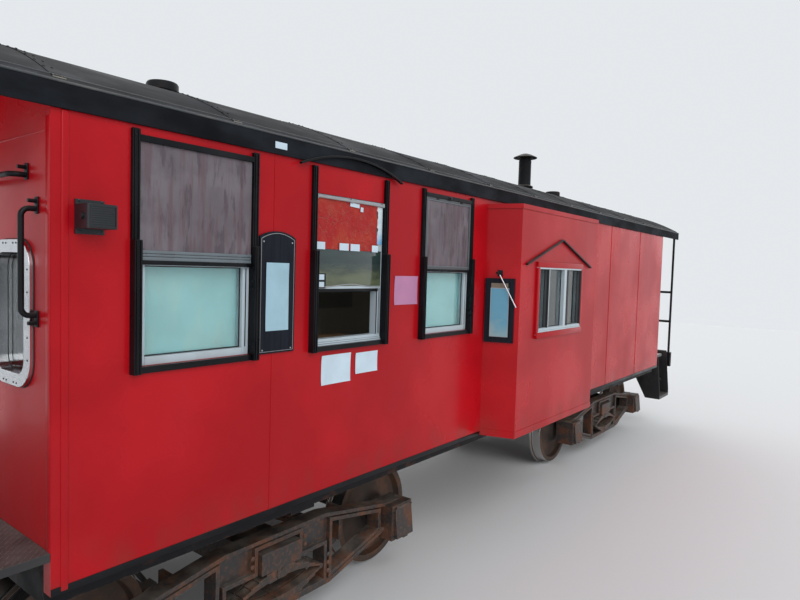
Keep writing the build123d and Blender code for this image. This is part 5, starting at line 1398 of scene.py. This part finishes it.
# truck bolts: box lids with a lip, box tops, columns and spring bands
truckBolt = {"lid": 1.13, "lidNut": (0.012, 0.012), "lidSpread": 0.112, "lidRows": (0.345, 0.57),
             "lip": (0.03, 0.33, 0.352, 1.146, 1.175), "top": (0.99, 0.597),
             "topSpread": (-0.085, -0.03, 0.03, 0.085), "topHead": (0.012, 0.009, 10),
             "columns": ((0.458, 0.30), (0.458, 0.36), (0.458, 0.42), (0.225, 0.575),
                         (0.225, 0.63)),
             "columnFace": 1.05, "columnHead": (0.016, 0.01, 10), "bands": (0.987, 1.079),
             "bandRows": (0.262, 0.488), "bandNut": (0.01, 0.008)}
for letter, end in ends:
    truck = end * car["truckPlace"]
    bm = bmesh.new()
    for side in ways:
        for way in ways:
            x = truck + way * car["axlePlace"]
            for dx in ways:
                for z in truckBolt["lidRows"]:
                    addNut(bm, (x + dx * truckBolt["lidSpread"], side * truckBolt["lid"], z),
                           (0, side, 0), *truckBolt["lidNut"])
            half, low, high, near, far = truckBolt["lip"]
            addSlab(bm, (x - half, low), (x + half, high), side, near, far, 0.004)
            across, height = truckBolt["top"]
            for dx in truckBolt["topSpread"]:
                addHead(bm, (x + dx, side * across, height), (0, 0, 1), *truckBolt["topHead"])
            for shift, z in truckBolt["columns"]:
                addHead(bm, (truck + way * shift, side * truckBolt["columnFace"], z),
                        (0, side, 0), *truckBolt["columnHead"])
        for across in truckBolt["bands"]:
            for z in truckBolt["bandRows"]:
                addNut(bm, (truck, side * across, z), (0, side, 0), *truckBolt["bandNut"])
    finishPiece("truckBolts_" + letter, bm, "castSteel", "truck_" + letter)

# rivets on the step sides
tread = {"rise": 0.24, "out": 0.125, "first": 0.965, "sides": ((4.845, -1), (5.385, 1)),
         "spread": 0.07, "drop": 0.012, "head": (0.007, 0.004, 8)}
bm = bmesh.new()
for end in ways:
    for side in ways:
        for number in range(3):
            y = side * (tread["first"] + number * tread["out"])
            z = car["floor"] - (number + 1) * tread["rise"] - tread["drop"]
            for x, outward in tread["sides"]:
                for shift in ways:
                    addHead(bm, (end * x, y + shift * tread["spread"], z), (end * outward, 0, 0),
                            *tread["head"])
finishPiece("stepRivets", bm, "blackGear")
print("running gear dressed")

# stage, light and camera
stage = {"floor": 60.0, "pale": (0.76, 0.77, 0.78), "sky": (0.78, 0.81, 0.84),
         "light": (0.94, 0.97, 1.0), "strength": 0.5}
bm = bmesh.new()
bmesh.ops.create_grid(bm, x_segments=1, y_segments=1, size=stage["floor"] / 2)
mesh = bpy.data.meshes.new("floorSheet")
bm.to_mesh(mesh)
bm.free()
floorSheet = bpy.data.objects.new("floorSheet", mesh)
scene.collection.objects.link(floorSheet)
newMaterial("paleFloor", {"Roughness": 0.75, "Base Color": stage["pale"]})
mesh.materials.append(finishes["paleFloor"])

world = bpy.data.worlds.new("paleWorld")
world.use_nodes = True
scene.world = world
tree = world.node_tree
rays = addNode(tree, "LightPath").outputs
shown = calc(tree, "MAXIMUM", rays["Is Camera Ray"], rays["Is Glossy Ray"])
chosen = addNode(tree, "MixShader")
give(tree, calc(tree, "MAXIMUM", shown, rays["Is Transmission Ray"]), chosen.inputs["Fac"])
for background, colour, strength, place in (
        (tree.nodes["Background"], stage["light"], stage["strength"], 1),
        (addNode(tree, "Background"), stage["sky"], 1.0, 2)):
    give(tree, colour, background.inputs["Color"])
    give(tree, strength, background.inputs["Strength"])
    give(tree, background.outputs[0], chosen.inputs[place])
give(tree, chosen.outputs[0], tree.nodes["World Output"].inputs["Surface"])

# soft suns: direction the light comes from, strength, width of the disc in degrees
lamps = {
    "nearKey": ((-0.35, -1.0, 0.75), 1.25, 50),
    "farFill": ((0.4, 1.0, 0.8), 0.9, 60),
    "leftFill": ((-1.0, -0.1, 0.45), 0.45, 60),
    "rightFill": ((1.0, 0.1, 0.45), 0.4, 60),
}
for name, (source, strength, width) in lamps.items():
    lamp = bpy.data.lights.new(name, "SUN")
    lamp.energy = strength
    lamp.angle = math.radians(width)
    holder = bpy.data.objects.new(name, lamp)
    holder.rotation_euler = Vector(source).to_track_quat("Z", "Y").to_euler()
    scene.collection.objects.link(holder)

view = {"yaw": 37.92, "pitch": 2.94, "roll": -1.70, "place": (-5.717, -4.074, 2.494),
        "lens": 27.55}
yaw, pitch, roll = (math.radians(view[key]) for key in ("yaw", "pitch", "roll"))
level = Vector((math.cos(yaw), math.sin(yaw), 0))
right = Vector((math.sin(yaw), -math.cos(yaw), 0))
down = Vector((0, 0, -1))
forward = level * math.cos(pitch) + down * math.sin(pitch)
drop = down * math.cos(pitch) - level * math.sin(pitch)
imageRight = right * math.cos(roll) + drop * math.sin(roll)
imageDown = drop * math.cos(roll) - right * math.sin(roll)
lens = bpy.data.cameras.new("viewer")
lens.sensor_width = 36
lens.lens = view["lens"]
camera = bpy.data.objects.new("viewer", lens)
camera.matrix_world = Matrix.Translation(view["place"]) @ Matrix(
    (imageRight, -imageDown, -forward)).transposed().to_4x4()
scene.collection.objects.link(camera)
scene.camera = camera
scene.view_settings.view_transform = "Standard"
print("stage set")
